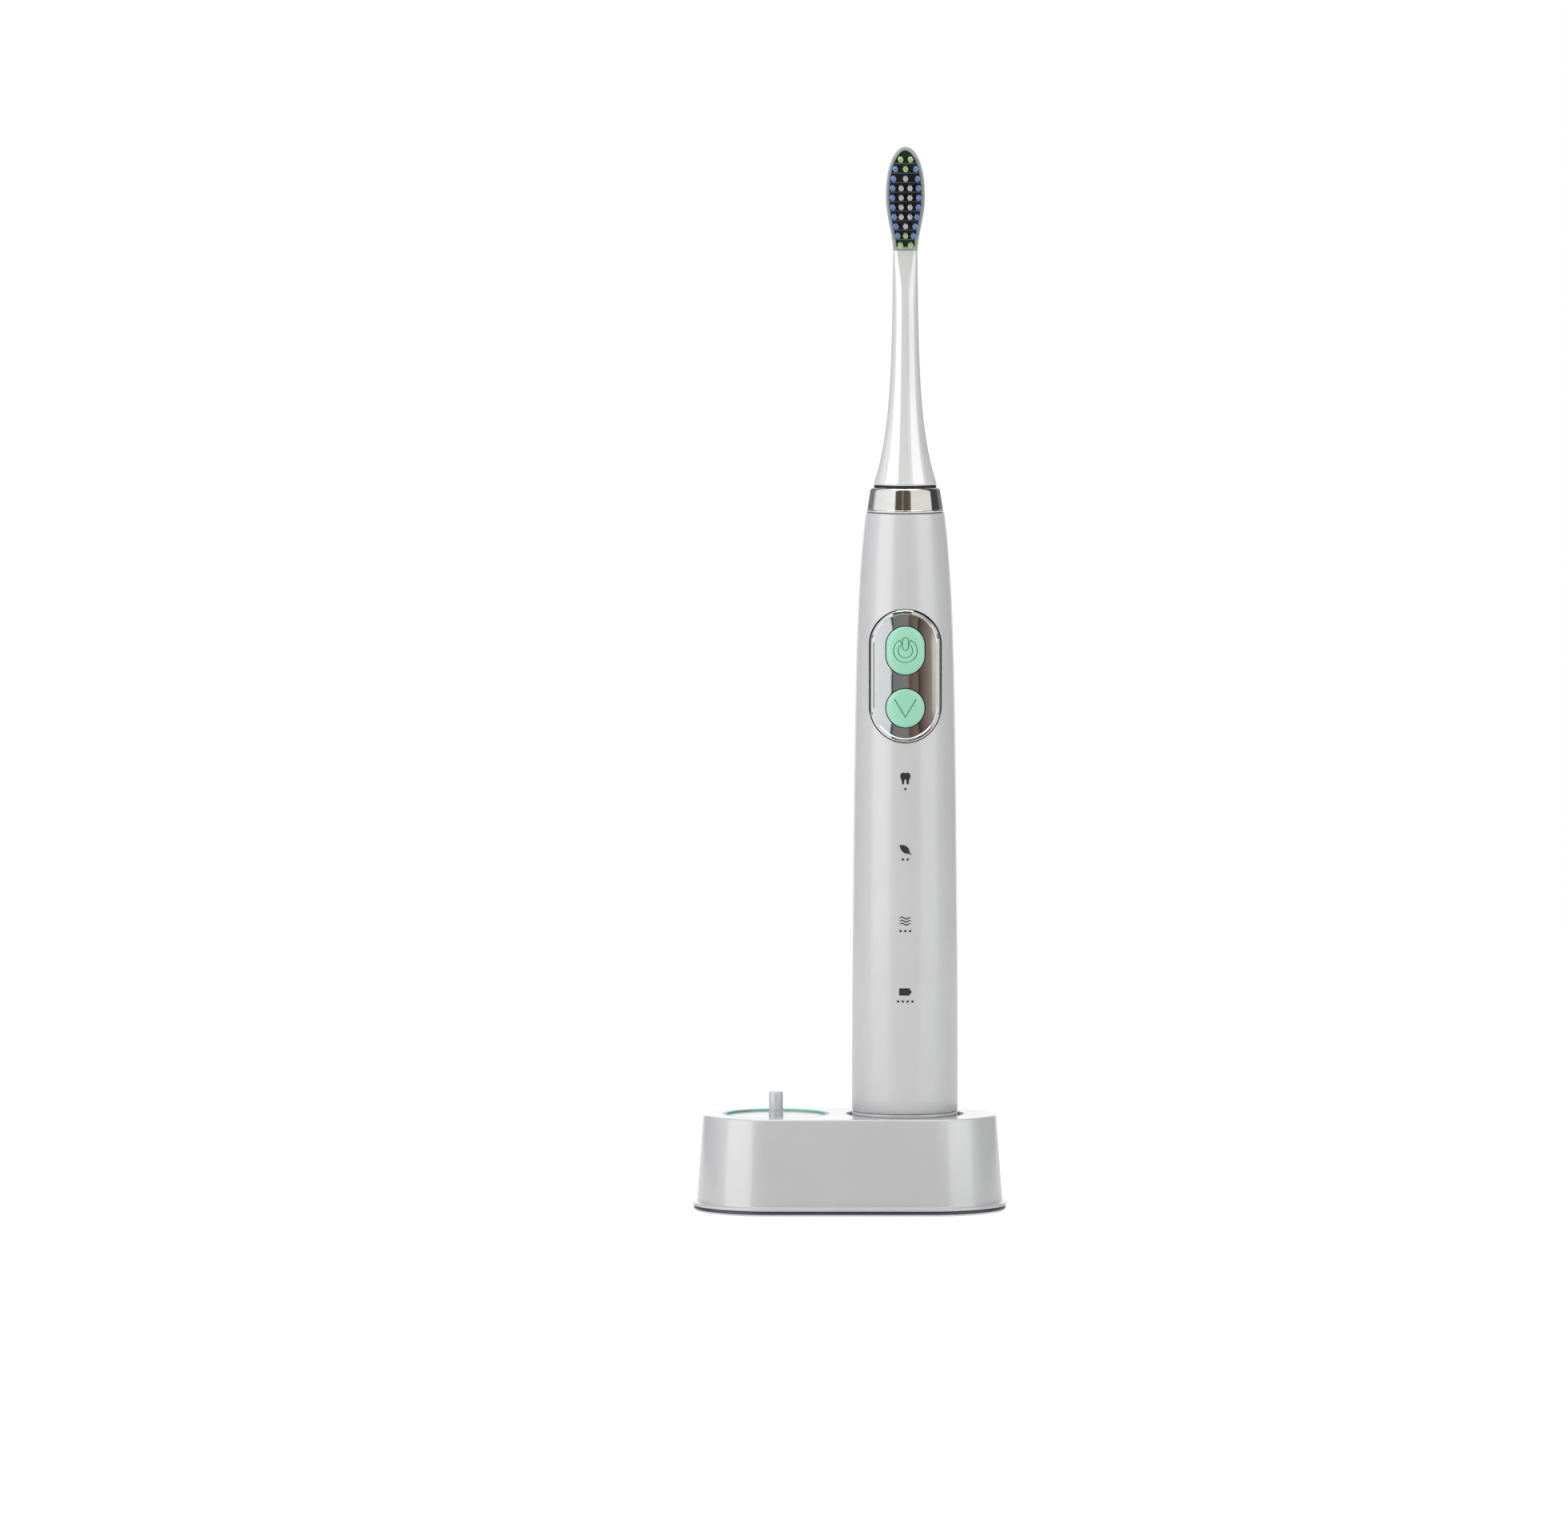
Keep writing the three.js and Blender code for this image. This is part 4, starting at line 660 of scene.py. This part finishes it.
panel = oval_face(PANEL_WIDTH, PANEL_HEIGHT, 0, PANEL_Z, 96)
thickened(panel, 1.5, -0.12)
front = min(panel.faces, key=lambda face: face.calc_center_median().y)
for thickness, depth in ((0.2, 0.2), (0.65, 0.03), (0.22, -0.2), (0.3, -0.02)):
    bmesh.ops.inset_region(panel, faces=[front], thickness=thickness, depth=depth, use_even_offset=True)
slit(panel, PANEL_WIDTH, PANEL_HEIGHT, PANEL_Z, 0.8, 3)
bent_round(panel)
for height, z in ((POWER_HEIGHT, POWER_Z), (BUTTON_WIDTH, MODE_Z)):
    hole = thickened(oval_face(BUTTON_WIDTH + PLAY, height + PLAY, 0, z, 96), -5, -18)
    panel = joined(panel, hole, "DIFFERENCE")
chrome_panel = finished("chrome_panel", moved(panel, HANDLE_X), chrome, 25)
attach(chrome_panel, "handle")
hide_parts("button_panel")
dressed(soft_black, "rubber", "keypad_membrane")

# ---- Power button ----
# Soft mint button with gently domed edges. A broken ring and a bar, the usual on and off sign, stand in
# a groove in its face, in the same moulding. It presses in against the switch behind the membrane.

mint = plastic("mint button", (0.255, 0.545, 0.405), (0.24, 0.52, 0.385), 0.33, 0.05, 2600, 0.006)


def button(height, z):
    """An oval button with a domed front, bent to the handle's curve."""
    body = oval_face(BUTTON_WIDTH, height, 0, z, 96)
    thickened(body, 1.8, -0.5)
    top = min(body.faces, key=lambda face: face.calc_center_median().y)
    for thickness, depth in ((0.1, 0.13), (0.16, 0.12), (0.28, 0.09), (0.5, 0.06), (0.9, 0.02)):
        bmesh.ops.inset_region(body, faces=[top], thickness=thickness, depth=depth, use_even_offset=True)
    return bent_round(slit(body, BUTTON_WIDTH, height, z, 0.7, 2))


FACE = 0.92
SIGN_DEPTH = 0.35
SIGN_RADIUS = 2.475
GAP = math.radians(30)


def power_sign(half, gap, back, front):
    """A broken ring and a bar, bent to the button, in strokes twice as wide as half."""
    arc = bmesh.new()
    inner, outer = SIGN_RADIUS - half, SIGN_RADIUS + half
    chain(arc, [(inner, back), (outer, back), (outer, front, 0.08), (inner, front, 0.08), (inner, back)])
    bmesh.ops.remove_doubles(arc, verts=arc.verts, dist=MERGE)
    bmesh.ops.rotate(arc, verts=arc.verts, cent=(0, 0, 0), matrix=Matrix.Rotation(-math.pi / 2, 3, "X"))
    bmesh.ops.rotate(arc, verts=arc.verts, cent=(0, 0, 0), matrix=Matrix.Rotation(gap - math.pi / 2, 3, "Y"))
    bmesh.ops.spin(arc, geom=arc.verts[:] + arc.edges[:], cent=(0, 0, 0), axis=(0, 1, 0),
                   angle=2 * (math.pi - gap), steps=48)
    bmesh.ops.holes_fill(arc, edges=arc.edges, sides=0)
    moved(arc, 0, 0, POWER_Z)
    bar = thickened(oval_face(2 * half + 0.3, 2 * half + 2.1, 0, POWER_Z + 1.75, 32), back, front)
    return [bent_round(slit(stroke, 6.8, 7, POWER_Z, 0.8, 9)) for stroke in (arc, bar)]


power = button(POWER_HEIGHT, POWER_Z)
for stroke in power_sign(0.72, GAP - 0.1, -FACE + SIGN_DEPTH, -FACE - 1):
    power = joined(power, stroke, "DIFFERENCE")
for stroke in power_sign(0.5, GAP, -FACE + SIGN_DEPTH + 0.15, -FACE - 0.06):
    power = joined(power, stroke, "UNION")
power_key = finished("power_key", moved(power, HANDLE_X), mint, 30)
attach(power_key, "power_button")
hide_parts("power_button")

# ---- Mode button ----
# The round button below, of the same soft mint plastic. A plain V, cut as a fine groove, points down to
# the mode signs on the handle.

mode = button(BUTTON_WIDTH, MODE_Z)
for side in (-1, 1):
    groove = outline([(-3 * side, 2.3), (0, -2.6), (0, -1.85), (-2.54 * side, 2.3)], MODE_Z)
    thickened(groove, -FACE + SIGN_DEPTH, -FACE - 1)
    mode = joined(mode, bent_round(slit(groove, 6, 5, MODE_Z, 0.4, 9)), "DIFFERENCE")
mode_key = finished("mode_key", moved(mode, HANDLE_X), mint, 30)
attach(mode_key, "mode_button")
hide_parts("mode_button")

# ---- Collar ----
# Chrome-plated ring, slightly conical, pressed over the neck of the shell. Its edges are rolled, and a
# fine step runs round its foot.

COLLAR_FOOT = SHOULDER + 0.1
COLLAR_TOP = 189.3
COLLAR_BORE = 6.9

ring = turned([
    (COLLAR_BORE, COLLAR_FOOT), (9.95, COLLAR_FOOT, 0.12), (10.25, 183.25, 0.12), (10.22, 183.6, 0.05),
    (10.12, 183.65, 0.05), (9.32, 188.8, 0.25), (8.95, COLLAR_TOP, 0.15), (COLLAR_BORE, COLLAR_TOP, 0.1),
    (COLLAR_BORE, COLLAR_FOOT)], 128)
chrome_collar = finished("chrome_collar", moved(ring, HANDLE_X), chrome, 25)
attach(chrome_collar, "handle")
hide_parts("collar")

# ---- Inside the handle ----
# A white inner frame carries the cell, the board with its switches and lights, and the motor. The coil
# in the foot of the handle takes the charge from the post. All of it is closed in by the shell.

frame_white = plastic("frame white", (0.62, 0.62, 0.6), (0.57, 0.57, 0.55), 0.45, 0.1, 1200, 0.01)
cell_can = metal("cell can", (0.5, 0.52, 0.54), (0.32, 0.34, 0.36), 0.3, 0.2, 0.004)
motor_steel = metal("motor steel", (0.44, 0.44, 0.46), (0.3, 0.29, 0.28), 0.32, 0.2, 0.006)
light_lens = plastic("light lens", (0.75, 0.82, 0.66), (0.68, 0.76, 0.58), 0.2, 0.1, 1800, 0.004, 0.4)

dressed(black_nylon, "black_plastic", "coil_former")
dressed(copper_wire, "winding", "receiving_coil", "drive_coil")
dressed(frame_white, "frame_plastic", "chassis")
dressed(cell_can, "battery_can", "battery")
dressed(plated_steel, "steel", "battery_tab_lower", "battery_tab_upper", "power_switch", "mode_switch")
dressed(board_lacquer, "board", "circuit_board")
dressed(light_lens, "status_light", "status_light_1", "status_light_2", "status_light_3", "status_light_4")
dressed(motor_steel, "steel", "motor_can", "rear_bearing", "front_bearing")
dressed(ferrite_grey, "ferrite", "stator_core", "rotor_magnet_left", "rotor_magnet_right")
dressed(soft_black, "rubber", "motor_damper", "shaft_seal")

# ---- Drive ----
# The rotor swings a few degrees either way on its torsion bar and carries the long steel shaft, which
# comes out through the seal in the collar and grips the brush head.

dressed(plated_steel, "steel", "drive_shaft", "rotor", "torsion_bar")

# ---- Brush head ----
# Glossy white neck, flared at its foot and drawn thin, that widens again to a flat oval head. A step in
# the front of the head takes the tuft plate.

HEAD_FOOT = 190
HEAD_START = 250
HEAD_WIDEST = 265.1
HEAD_TIP = 278.2
PLATE_START = 251.2
NECK_RADIUS = 3.2
FLARE = 5.35
HEAD_HALF_WIDTH = 5.1
HEAD_HALF_DEPTH = 2.5
THINNING = 17
EDGE_DEPTH = 1.6
STEP_BACK = -1.15
STEP_SIZE = (14, 8, 32)
HEAD_WALL = 1.4

head_white = plastic("head white", (0.56, 0.56, 0.565), (0.54, 0.54, 0.55), 0.12, 0.04, 500, 0.001, 1.0, 1.0)


def half_width(z):
    """Half the width of the neck and head, as seen from the bristle side."""
    if z > HEAD_WIDEST:
        share = (z - HEAD_WIDEST) / (HEAD_TIP - HEAD_WIDEST)
        return HEAD_HALF_WIDTH * math.sqrt(max(1 - share ** 2.3, 0))
    if z > HEAD_START:
        share = (HEAD_WIDEST - z) / (HEAD_WIDEST - HEAD_START)
        return NECK_RADIUS + (HEAD_HALF_WIDTH - NECK_RADIUS) * (0.5 + 0.5 * math.cos(math.pi * share))
    return NECK_RADIUS + FLARE * math.exp((HEAD_FOOT - z) / 15)


def half_depth(z):
    """Half the thickness: the round neck thins to a flat head, whose edge is rounded over at the tip."""
    if z < HEAD_START:
        share = max((z - HEAD_START + THINNING) / THINNING, 0)
        thinned = HEAD_HALF_DEPTH - half_width(HEAD_START)
        return half_width(z) + thinned * share * share * (3 - 2 * share)
    over = max(z - HEAD_TIP + 1.2, 0) / 1.2
    return EDGE_DEPTH + (HEAD_HALF_DEPTH - EDGE_DEPTH) * math.sqrt(max(1 - over * over, 0))


def squareness(z):
    """1 for a round section, towards 0 for one with flat faces."""
    share = min(max((z - HEAD_START + 9) / 14, 0), 1)
    return 1 - 0.62 * share * share * (3 - 2 * share)


def lofted(heights):
    """A loop with the head's section at each height, bridged from foot to tip and closed at both ends."""
    body = bmesh.new()
    below = []
    for z in heights:
        loop = bmesh.ops.create_circle(body, cap_ends=False, radius=1, segments=72)["verts"]
        power = squareness(z)
        for vert in loop:
            side, face = vert.co.x, vert.co.y
            vert.co.x = half_width(z) * math.copysign(abs(side) ** power, side)
            vert.co.y = half_depth(z) * math.copysign(abs(face) ** power, face)
            vert.co.z = z
        edges = list({edge for vert in loop for edge in vert.link_edges})
        if below:
            bmesh.ops.bridge_loops(body, edges=below + edges)
        below = edges
    bmesh.ops.holes_fill(body, edges=body.edges, sides=0)
    return closed(body)


neck_heights = [HEAD_FOOT + 0.35 + 60 * (step / 40) ** 1.4 for step in range(41)]
head_heights = [HEAD_START + 0.55 * step for step in range(1, 46)]
tip_heights = [HEAD_TIP - 3.4 * (1 - step / 24) ** 2 for step in range(1, 24)]
head = lofted([*neck_heights, *head_heights, *tip_heights])
foot_step = turned([(0, HEAD_FOOT), (8.25, HEAD_FOOT, 0.15), (8.42, HEAD_FOOT + 0.5),
                    (0, HEAD_FOOT + 0.5)], 72)
head = joined(head, foot_step, "UNION")
step_cut = bmesh.new()
bmesh.ops.create_cube(step_cut, size=1)
bmesh.ops.scale(step_cut, verts=step_cut.verts, vec=STEP_SIZE)
moved(step_cut, 0, STEP_BACK - STEP_SIZE[1] / 2, PLATE_START - 0.05 + STEP_SIZE[2] / 2)
head = joined(head, step_cut, "DIFFERENCE")
bore = [(half_width(HEAD_FOOT + z) - HEAD_WALL, HEAD_FOOT + z) for z in range(0, 25, 3)]
bore_cut = turned([(0, HEAD_FOOT - 1), (bore[0][0], HEAD_FOOT - 1), *bore, (0, bore[-1][1])], 64)
head = joined(head, bore_cut, "DIFFERENCE")
head_shell = finished("head_shell", moved(head, HANDLE_X), head_white, 40)
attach(head_shell, "brush_head")
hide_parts("head_body")
dressed(seat_grey_and_crevice_shade, "grey_plastic", "head_sleeve")
dressed(plated_steel, "steel", "shaft_clip")

# ---- Tuft plate ----
# Grey plate welded into the step of the head, with a smooth rim and a field sunk inside it. The field's near
# black is painted shade between the tufts. Low bars run across the field between the rows of tufts.

HEAD_FRONT = -HEAD_HALF_DEPTH
ROW_PITCH = 2.47
TOP_ROW = 275
ROWS = 10

plate_grey = plastic("plate grey", (0.33, 0.335, 0.345), (0.29, 0.295, 0.305), 0.3, 0.08, 1400, 0.004, 0.2)
bar_grey = plastic("bar grey", (0.12, 0.12, 0.125), (0.09, 0.09, 0.095), 0.35, 0.1, 1800, 0.006)
# Near black for the field: painted shade, standing for the shadow deep between the tufts.
field_painted_shade = plastic("field painted shade", (0.012, 0.012, 0.014), (0.02, 0.02, 0.022), 0.35, 0.12, 1800, 0.006)


def head_outline(inset, foot):
    """The head's front as one flat face, moved in from its edge."""
    sheet = bmesh.new()
    levels = [foot + (HEAD_TIP - inset - foot) * math.sin(step / 40 * math.pi / 2) for step in range(41)]
    right = [sheet.verts.new((half_width(z) - inset, 0, z)) for z in levels
             if half_width(z) > inset + 0.05]
    left = [sheet.verts.new((-vert.co.x, 0, vert.co.z)) for vert in reversed(right)]
    sheet.faces.new(right + left)
    return sheet


plate = thickened(head_outline(0.02, PLATE_START), -1.2, HEAD_FRONT + 0.35)
plate_front = min(plate.faces, key=lambda face: face.calc_center_median().y)
for thickness, depth in ((0.08, 0.17), (0.12, 0.12), (0.2, 0.06), (0.45, 0.0), (0.12, -0.1), (0.05, -0.55)):
    bmesh.ops.inset_region(plate, faces=[plate_front], thickness=thickness, depth=depth,
                           use_even_offset=True)
tuft_plate = finished("tuft_plate_rim", moved(closed(plate), HANDLE_X), plate_grey, 40)
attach(tuft_plate, "brush_head")
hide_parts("tuft_plate")

# The sunk field is a near-black sheet: painted shade between the tufts.
field = thickened(head_outline(1.0, PLATE_START + 0.9), -1.7, HEAD_FRONT + 0.5)
tuft_field = finished("tuft_field", moved(closed(field), HANDLE_X), field_painted_shade, 40)
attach(tuft_field, "brush_head")

bars = bmesh.new()
for row in range(ROWS - 1):
    z = TOP_ROW - ROW_PITCH * (row + 0.5)
    bar = bmesh.new()
    bmesh.ops.create_cube(bar, size=1)
    bmesh.ops.bevel(bar, geom=bar.edges[:], offset=0.12, segments=2, profile=0.5, affect="EDGES",
                    material=-1)
    bmesh.ops.scale(bar, verts=bar.verts, vec=(2 * (half_width(z) - 1.15), 0.3, 0.34))
    moved(bar, 0, HEAD_FRONT + 0.42, z)
    work = bpy.data.meshes.new("work")
    bar.to_mesh(work)
    bar.free()
    bars.from_mesh(work)
    bpy.data.meshes.remove(work)
field_bars = finished("field_bars", moved(bars, HANDLE_X), bar_grey, 40)
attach(field_bars, "brush_head")

# ---- Tufts ----
# Bundles of nylon bristles, each with a rounded tip: blue down both edges, white in the middle and green
# at the tip and the heel. The middle bristles of a bundle are cut a little shorter.

BRISTLE_TIP = -12
BRISTLE_ROOT = -1.9
BRISTLE = 0.098
BRISTLE_PITCH = 0.2
BUNDLE_RADIUS = 0.61
BLUE_INSET = 1.72
WHITE_SIDE = 1.15
GREEN_SIDE = 1.3


def bristle_nylon(name, colour, tip_colour):
    """Dyed nylon: the colour wavers from bristle to bristle and pales towards the tips."""
    material = bpy.data.materials.new(name)
    material.use_nodes = True
    tree = material.node_tree
    shader = tree.nodes["Principled BSDF"]
    place = tree.nodes.new("ShaderNodeTexCoord").outputs["Object"]
    parts = tree.nodes.new("ShaderNodeSeparateXYZ")
    tree.links.new(place, parts.inputs["Vector"])
    along = mapped(tree, parts.outputs["Y"], -0.0085, -0.012)
    waver = mapped(tree, noise(tree, place, 3600, 2), 0.35, 0.65, 0.0, 0.6)
    pale = sums(tree, "MAXIMUM", sums(tree, "MULTIPLY", along, 0.6), waver)
    tree.links.new(blended(tree, pale, (*colour, 1), (*tip_colour, 1)), shader.inputs["Base Color"])
    tree.links.new(mapped(tree, waver, 0, 1, 0.3, 0.5), shader.inputs["Roughness"])
    shader.inputs["Specular IOR Level"].default_value = 0.5
    return material


# One bundle: bristles in a close-packed round, each with a small raised tip.
bundle = bmesh.new()
for around in range(-3, 4):
    for across in range(-3, 4):
        x = BRISTLE_PITCH * (around + 0.5 * across)
        z = BRISTLE_PITCH * across * math.sqrt(0.75)
        reach = math.hypot(x, z)
        if reach > BUNDLE_RADIUS:
            continue
        tip = BRISTLE_TIP + 0.45 * max(0.42 - reach, 0) + 0.12 * math.sin(7 * around + 3 * across) ** 2
        length = BRISTLE_ROOT - tip - 0.08
        turn = Matrix.Translation((x, BRISTLE_ROOT - length / 2, z)) @ Matrix.Rotation(math.pi / 2, 4, "X")
        rod = bmesh.ops.create_cone(bundle, cap_ends=True, segments=6, radius1=BRISTLE, radius2=BRISTLE,
                                    depth=length, matrix=turn)["verts"]
        caps = {face for vert in rod for face in vert.link_faces if len(face.verts) == 6}
        cap_face = min(caps, key=lambda face: face.calc_center_median().y)
        bmesh.ops.inset_region(bundle, faces=[cap_face], thickness=0.045, depth=0.07)

blue_nylon = bristle_nylon("blue bristle", (0.14, 0.25, 0.53), (0.27, 0.41, 0.68))
white_nylon = bristle_nylon("white bristle", (0.52, 0.51, 0.51), (0.68, 0.67, 0.66))
green_nylon = bristle_nylon("green bristle", (0.34, 0.58, 0.18), (0.53, 0.75, 0.36))


def row_height(row):
    return TOP_ROW - ROW_PITCH * row


def edge_place(row):
    return half_width(row_height(row)) - BLUE_INSET


tuft_sets = {
    "tufts_blue_left": ("blue_bristles_left", blue_nylon, "tuft_blue",
                        [(-edge_place(row), row_height(row)) for row in range(1, 9)]),
    "tufts_blue_right": ("blue_bristles_right", blue_nylon, "tuft_blue",
                         [(edge_place(row), row_height(row)) for row in range(1, 9)]),
    "tufts_white": ("white_bristles", white_nylon, "tuft_white",
                    [(0, row_height(2)), (0, row_height(7))]
                    + [(side * WHITE_SIDE, row_height(row)) for row in range(3, 7) for side in (-1, 1)]),
    "tufts_green_tip": ("green_bristles_tip", green_nylon, "tuft_green",
                        [(-GREEN_SIDE, row_height(0)), (GREEN_SIDE, row_height(0)), (0, row_height(1))]),
    "tufts_green_heel": ("green_bristles_heel", green_nylon, "tuft_green",
                         [(0, row_height(8)), (-GREEN_SIDE, row_height(9)), (GREEN_SIDE, row_height(9))]),
}
for node, (name, material, slot, places) in tuft_sets.items():
    tufts = bmesh.new()
    for x, z in places:
        work = bpy.data.meshes.new("work")
        bundle.to_mesh(work)
        work.transform(Matrix.Translation((x, 0, z)))
        tufts.from_mesh(work)
        bpy.data.meshes.remove(work)
    bristles = finished(name, moved(tufts, HANDLE_X), material, 50)
    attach(bristles, "brush_head")
    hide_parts(node)
bundle.free()

# ---- Floor ----
# A round pale table top with a light of its own under it, so that the shadow on it stays faint.

TABLE_RADIUS = 900

table = turned([(0, -1), (TABLE_RADIUS, -1, 0.4), (TABLE_RADIUS, 0, 0.4), (0, 0)], 96)
table_white = plastic("table white", (0.8, 0.8, 0.8), (0.78, 0.78, 0.78), 0.6, 0.05, 30, 0.01)
table_tree = table_white.node_tree
table_shader = table_tree.nodes["Principled BSDF"]
table_shader.inputs["Emission Color"].default_value = (1, 1, 1, 1)
seen_direct = table_tree.nodes.new("ShaderNodeLightPath").outputs["Is Camera Ray"]
under_light = sums(table_tree, "MULTIPLY", seen_direct, 0.62)
table_tree.links.new(under_light, table_shader.inputs["Emission Strength"])
finished("table", table, table_white)

# ---- Light ----
# Two tall soft boxes stand to the left and right of the camera, and a broad one hangs above. The room
# behind the camera is dark and brown, which gives the chrome its dark bands; elsewhere it is bright.

LIGHT_TARGET = Vector((0, 0, 0.13))


def soft_box(name, azimuth, elevation, distance, width, height, radiance, colour):
    """A soft box aimed at the middle of the toothbrush; azimuth 0 is the camera's side, 90 its right."""
    light = bpy.data.lights.new(name, "AREA")
    light.shape = "RECTANGLE"
    light.size = width
    light.size_y = height
    light.energy = radiance * math.pi * width * height
    light.color = colour
    box = bpy.data.objects.new(name, light)
    bpy.context.scene.collection.objects.link(box)
    turn, lift = math.radians(azimuth), math.radians(elevation)
    away = Vector((math.sin(turn) * math.cos(lift), -math.cos(turn) * math.cos(lift), math.sin(lift)))
    box.location = LIGHT_TARGET + distance * away
    box.rotation_euler = away.to_track_quat("Z", "Y").to_euler()
    return box


# The two side boxes light everything but the chrome, which only mirrors the room.
lit = bpy.data.collections.new("lit by the side boxes")
for piece in bpy.context.scene.objects:
    if piece.type == "MESH" and piece not in (chrome_panel, chrome_collar):
        lit.objects.link(piece)
for box in (soft_box("left box", -55, 14, 1.6, 1.4, 1.4, 2.5, (1.0, 0.995, 0.99)),
            soft_box("right box", 55, 14, 1.6, 1.25, 1.3, 2.15, (0.955, 0.978, 1.0))):
    box.light_linking.receiver_collection = lit
soft_box("top box", 0, 88, 1.5, 1.3, 1.3, 2.4, (1, 1, 1))

world = bpy.data.worlds.new("studio")
bpy.context.scene.world = world
world.use_nodes = True
room = world.node_tree
background = room.nodes["Background"]
direction = room.nodes.new("ShaderNodeTexCoord").outputs["Generated"]
axes = room.nodes.new("ShaderNodeSeparateXYZ")
room.links.new(direction, axes.inputs["Vector"])
bearing = sums(room, "ARCTAN2", axes.outputs["X"], sums(room, "MULTIPLY", axes.outputs["Y"], -1.0))
share = sums(room, "MULTIPLY_ADD", bearing, 0.5 / math.pi, 0.5)


def bands(stops):
    """Room brightness round the horizon, from (degrees, colour) stops."""
    ramp = room.nodes.new("ShaderNodeValToRGB")
    room.links.new(share, ramp.inputs["Fac"])
    points = ramp.color_ramp.elements
    while len(points) < len(stops):
        points.new(1)
    for point, (degrees, colour) in zip(points, stops):
        point.position = (degrees + 180) / 360
        point.color = (*colour, 1)
    return ramp.outputs["Color"]


PALE = (0.92, 0.94, 0.97)
WHITE = (1.3, 1.3, 1.3)
BROWN = (0.13, 0.095, 0.08)
FLAG = (0.22, 0.22, 0.23)
low_room = bands([
    (-180, WHITE), (-158, WHITE), (-148, FLAG), (-100, FLAG), (-88, PALE), (-34, (0.8, 0.83, 0.86)),
    (-31, (0.03, 0.03, 0.03)), (-27, (0.2, 0.21, 0.22)), (6, (0.24, 0.23, 0.22)), (10, BROWN),
    (28, (0.2, 0.15, 0.13)), (33, (0.05, 0.04, 0.04)), (38, BROWN), (62, (0.3, 0.24, 0.22)),
    (70, (0.7, 0.68, 0.62)), (88, (0.8, 0.8, 0.76)), (98, FLAG), (148, FLAG), (158, WHITE), (180, WHITE)])
high_room = bands([
    (-180, WHITE), (-158, WHITE), (-148, FLAG), (-118, (0.25, 0.24, 0.22)), (-105, PALE),
    (-34, (1.1, 1.1, 1.08)), (-30, (0.12, 0.11, 0.09)), (-14, (0.1, 0.09, 0.07)), (-8, (0.25, 0.22, 0.18)),
    (-2, (0.1, 0.09, 0.065)), (16, (0.14, 0.12, 0.09)), (19, (0.88, 0.88, 0.83)), (86, (0.88, 0.88, 0.82)),
    (91, (0.06, 0.06, 0.06)), (122, (0.07, 0.07, 0.07)), (128, FLAG), (148, FLAG), (158, WHITE),
    (180, WHITE)])
above = mapped(room, axes.outputs["Z"], 0.02, 0.14)
surroundings = blended(room, above, low_room, high_room)
seen = room.nodes.new("ShaderNodeLightPath").outputs["Is Camera Ray"]
room.links.new(blended(room, seen, surroundings, (1, 1, 1, 1)), background.inputs["Color"])

# ---- Camera ----
# A long lens a little above the charger's top, level with the middle of the handle, straight from the front.

AIM = Vector((-0.0172, 0, 0.1179))
DISTANCE = 4.55
RISE = math.radians(4.2)

lens = bpy.data.cameras.new("camera")
lens.lens = 400
lens.sensor_width = 36
lens.clip_start = 0.1
lens.clip_end = 50
camera = bpy.data.objects.new("camera", lens)
bpy.context.scene.collection.objects.link(camera)
camera.location = AIM + DISTANCE * Vector((0, -math.cos(RISE), math.sin(RISE)))
camera.rotation_euler = (camera.location - AIM).to_track_quat("Z", "Y").to_euler()
bpy.context.scene.camera = camera
bpy.context.scene.view_settings.view_transform = "Standard"
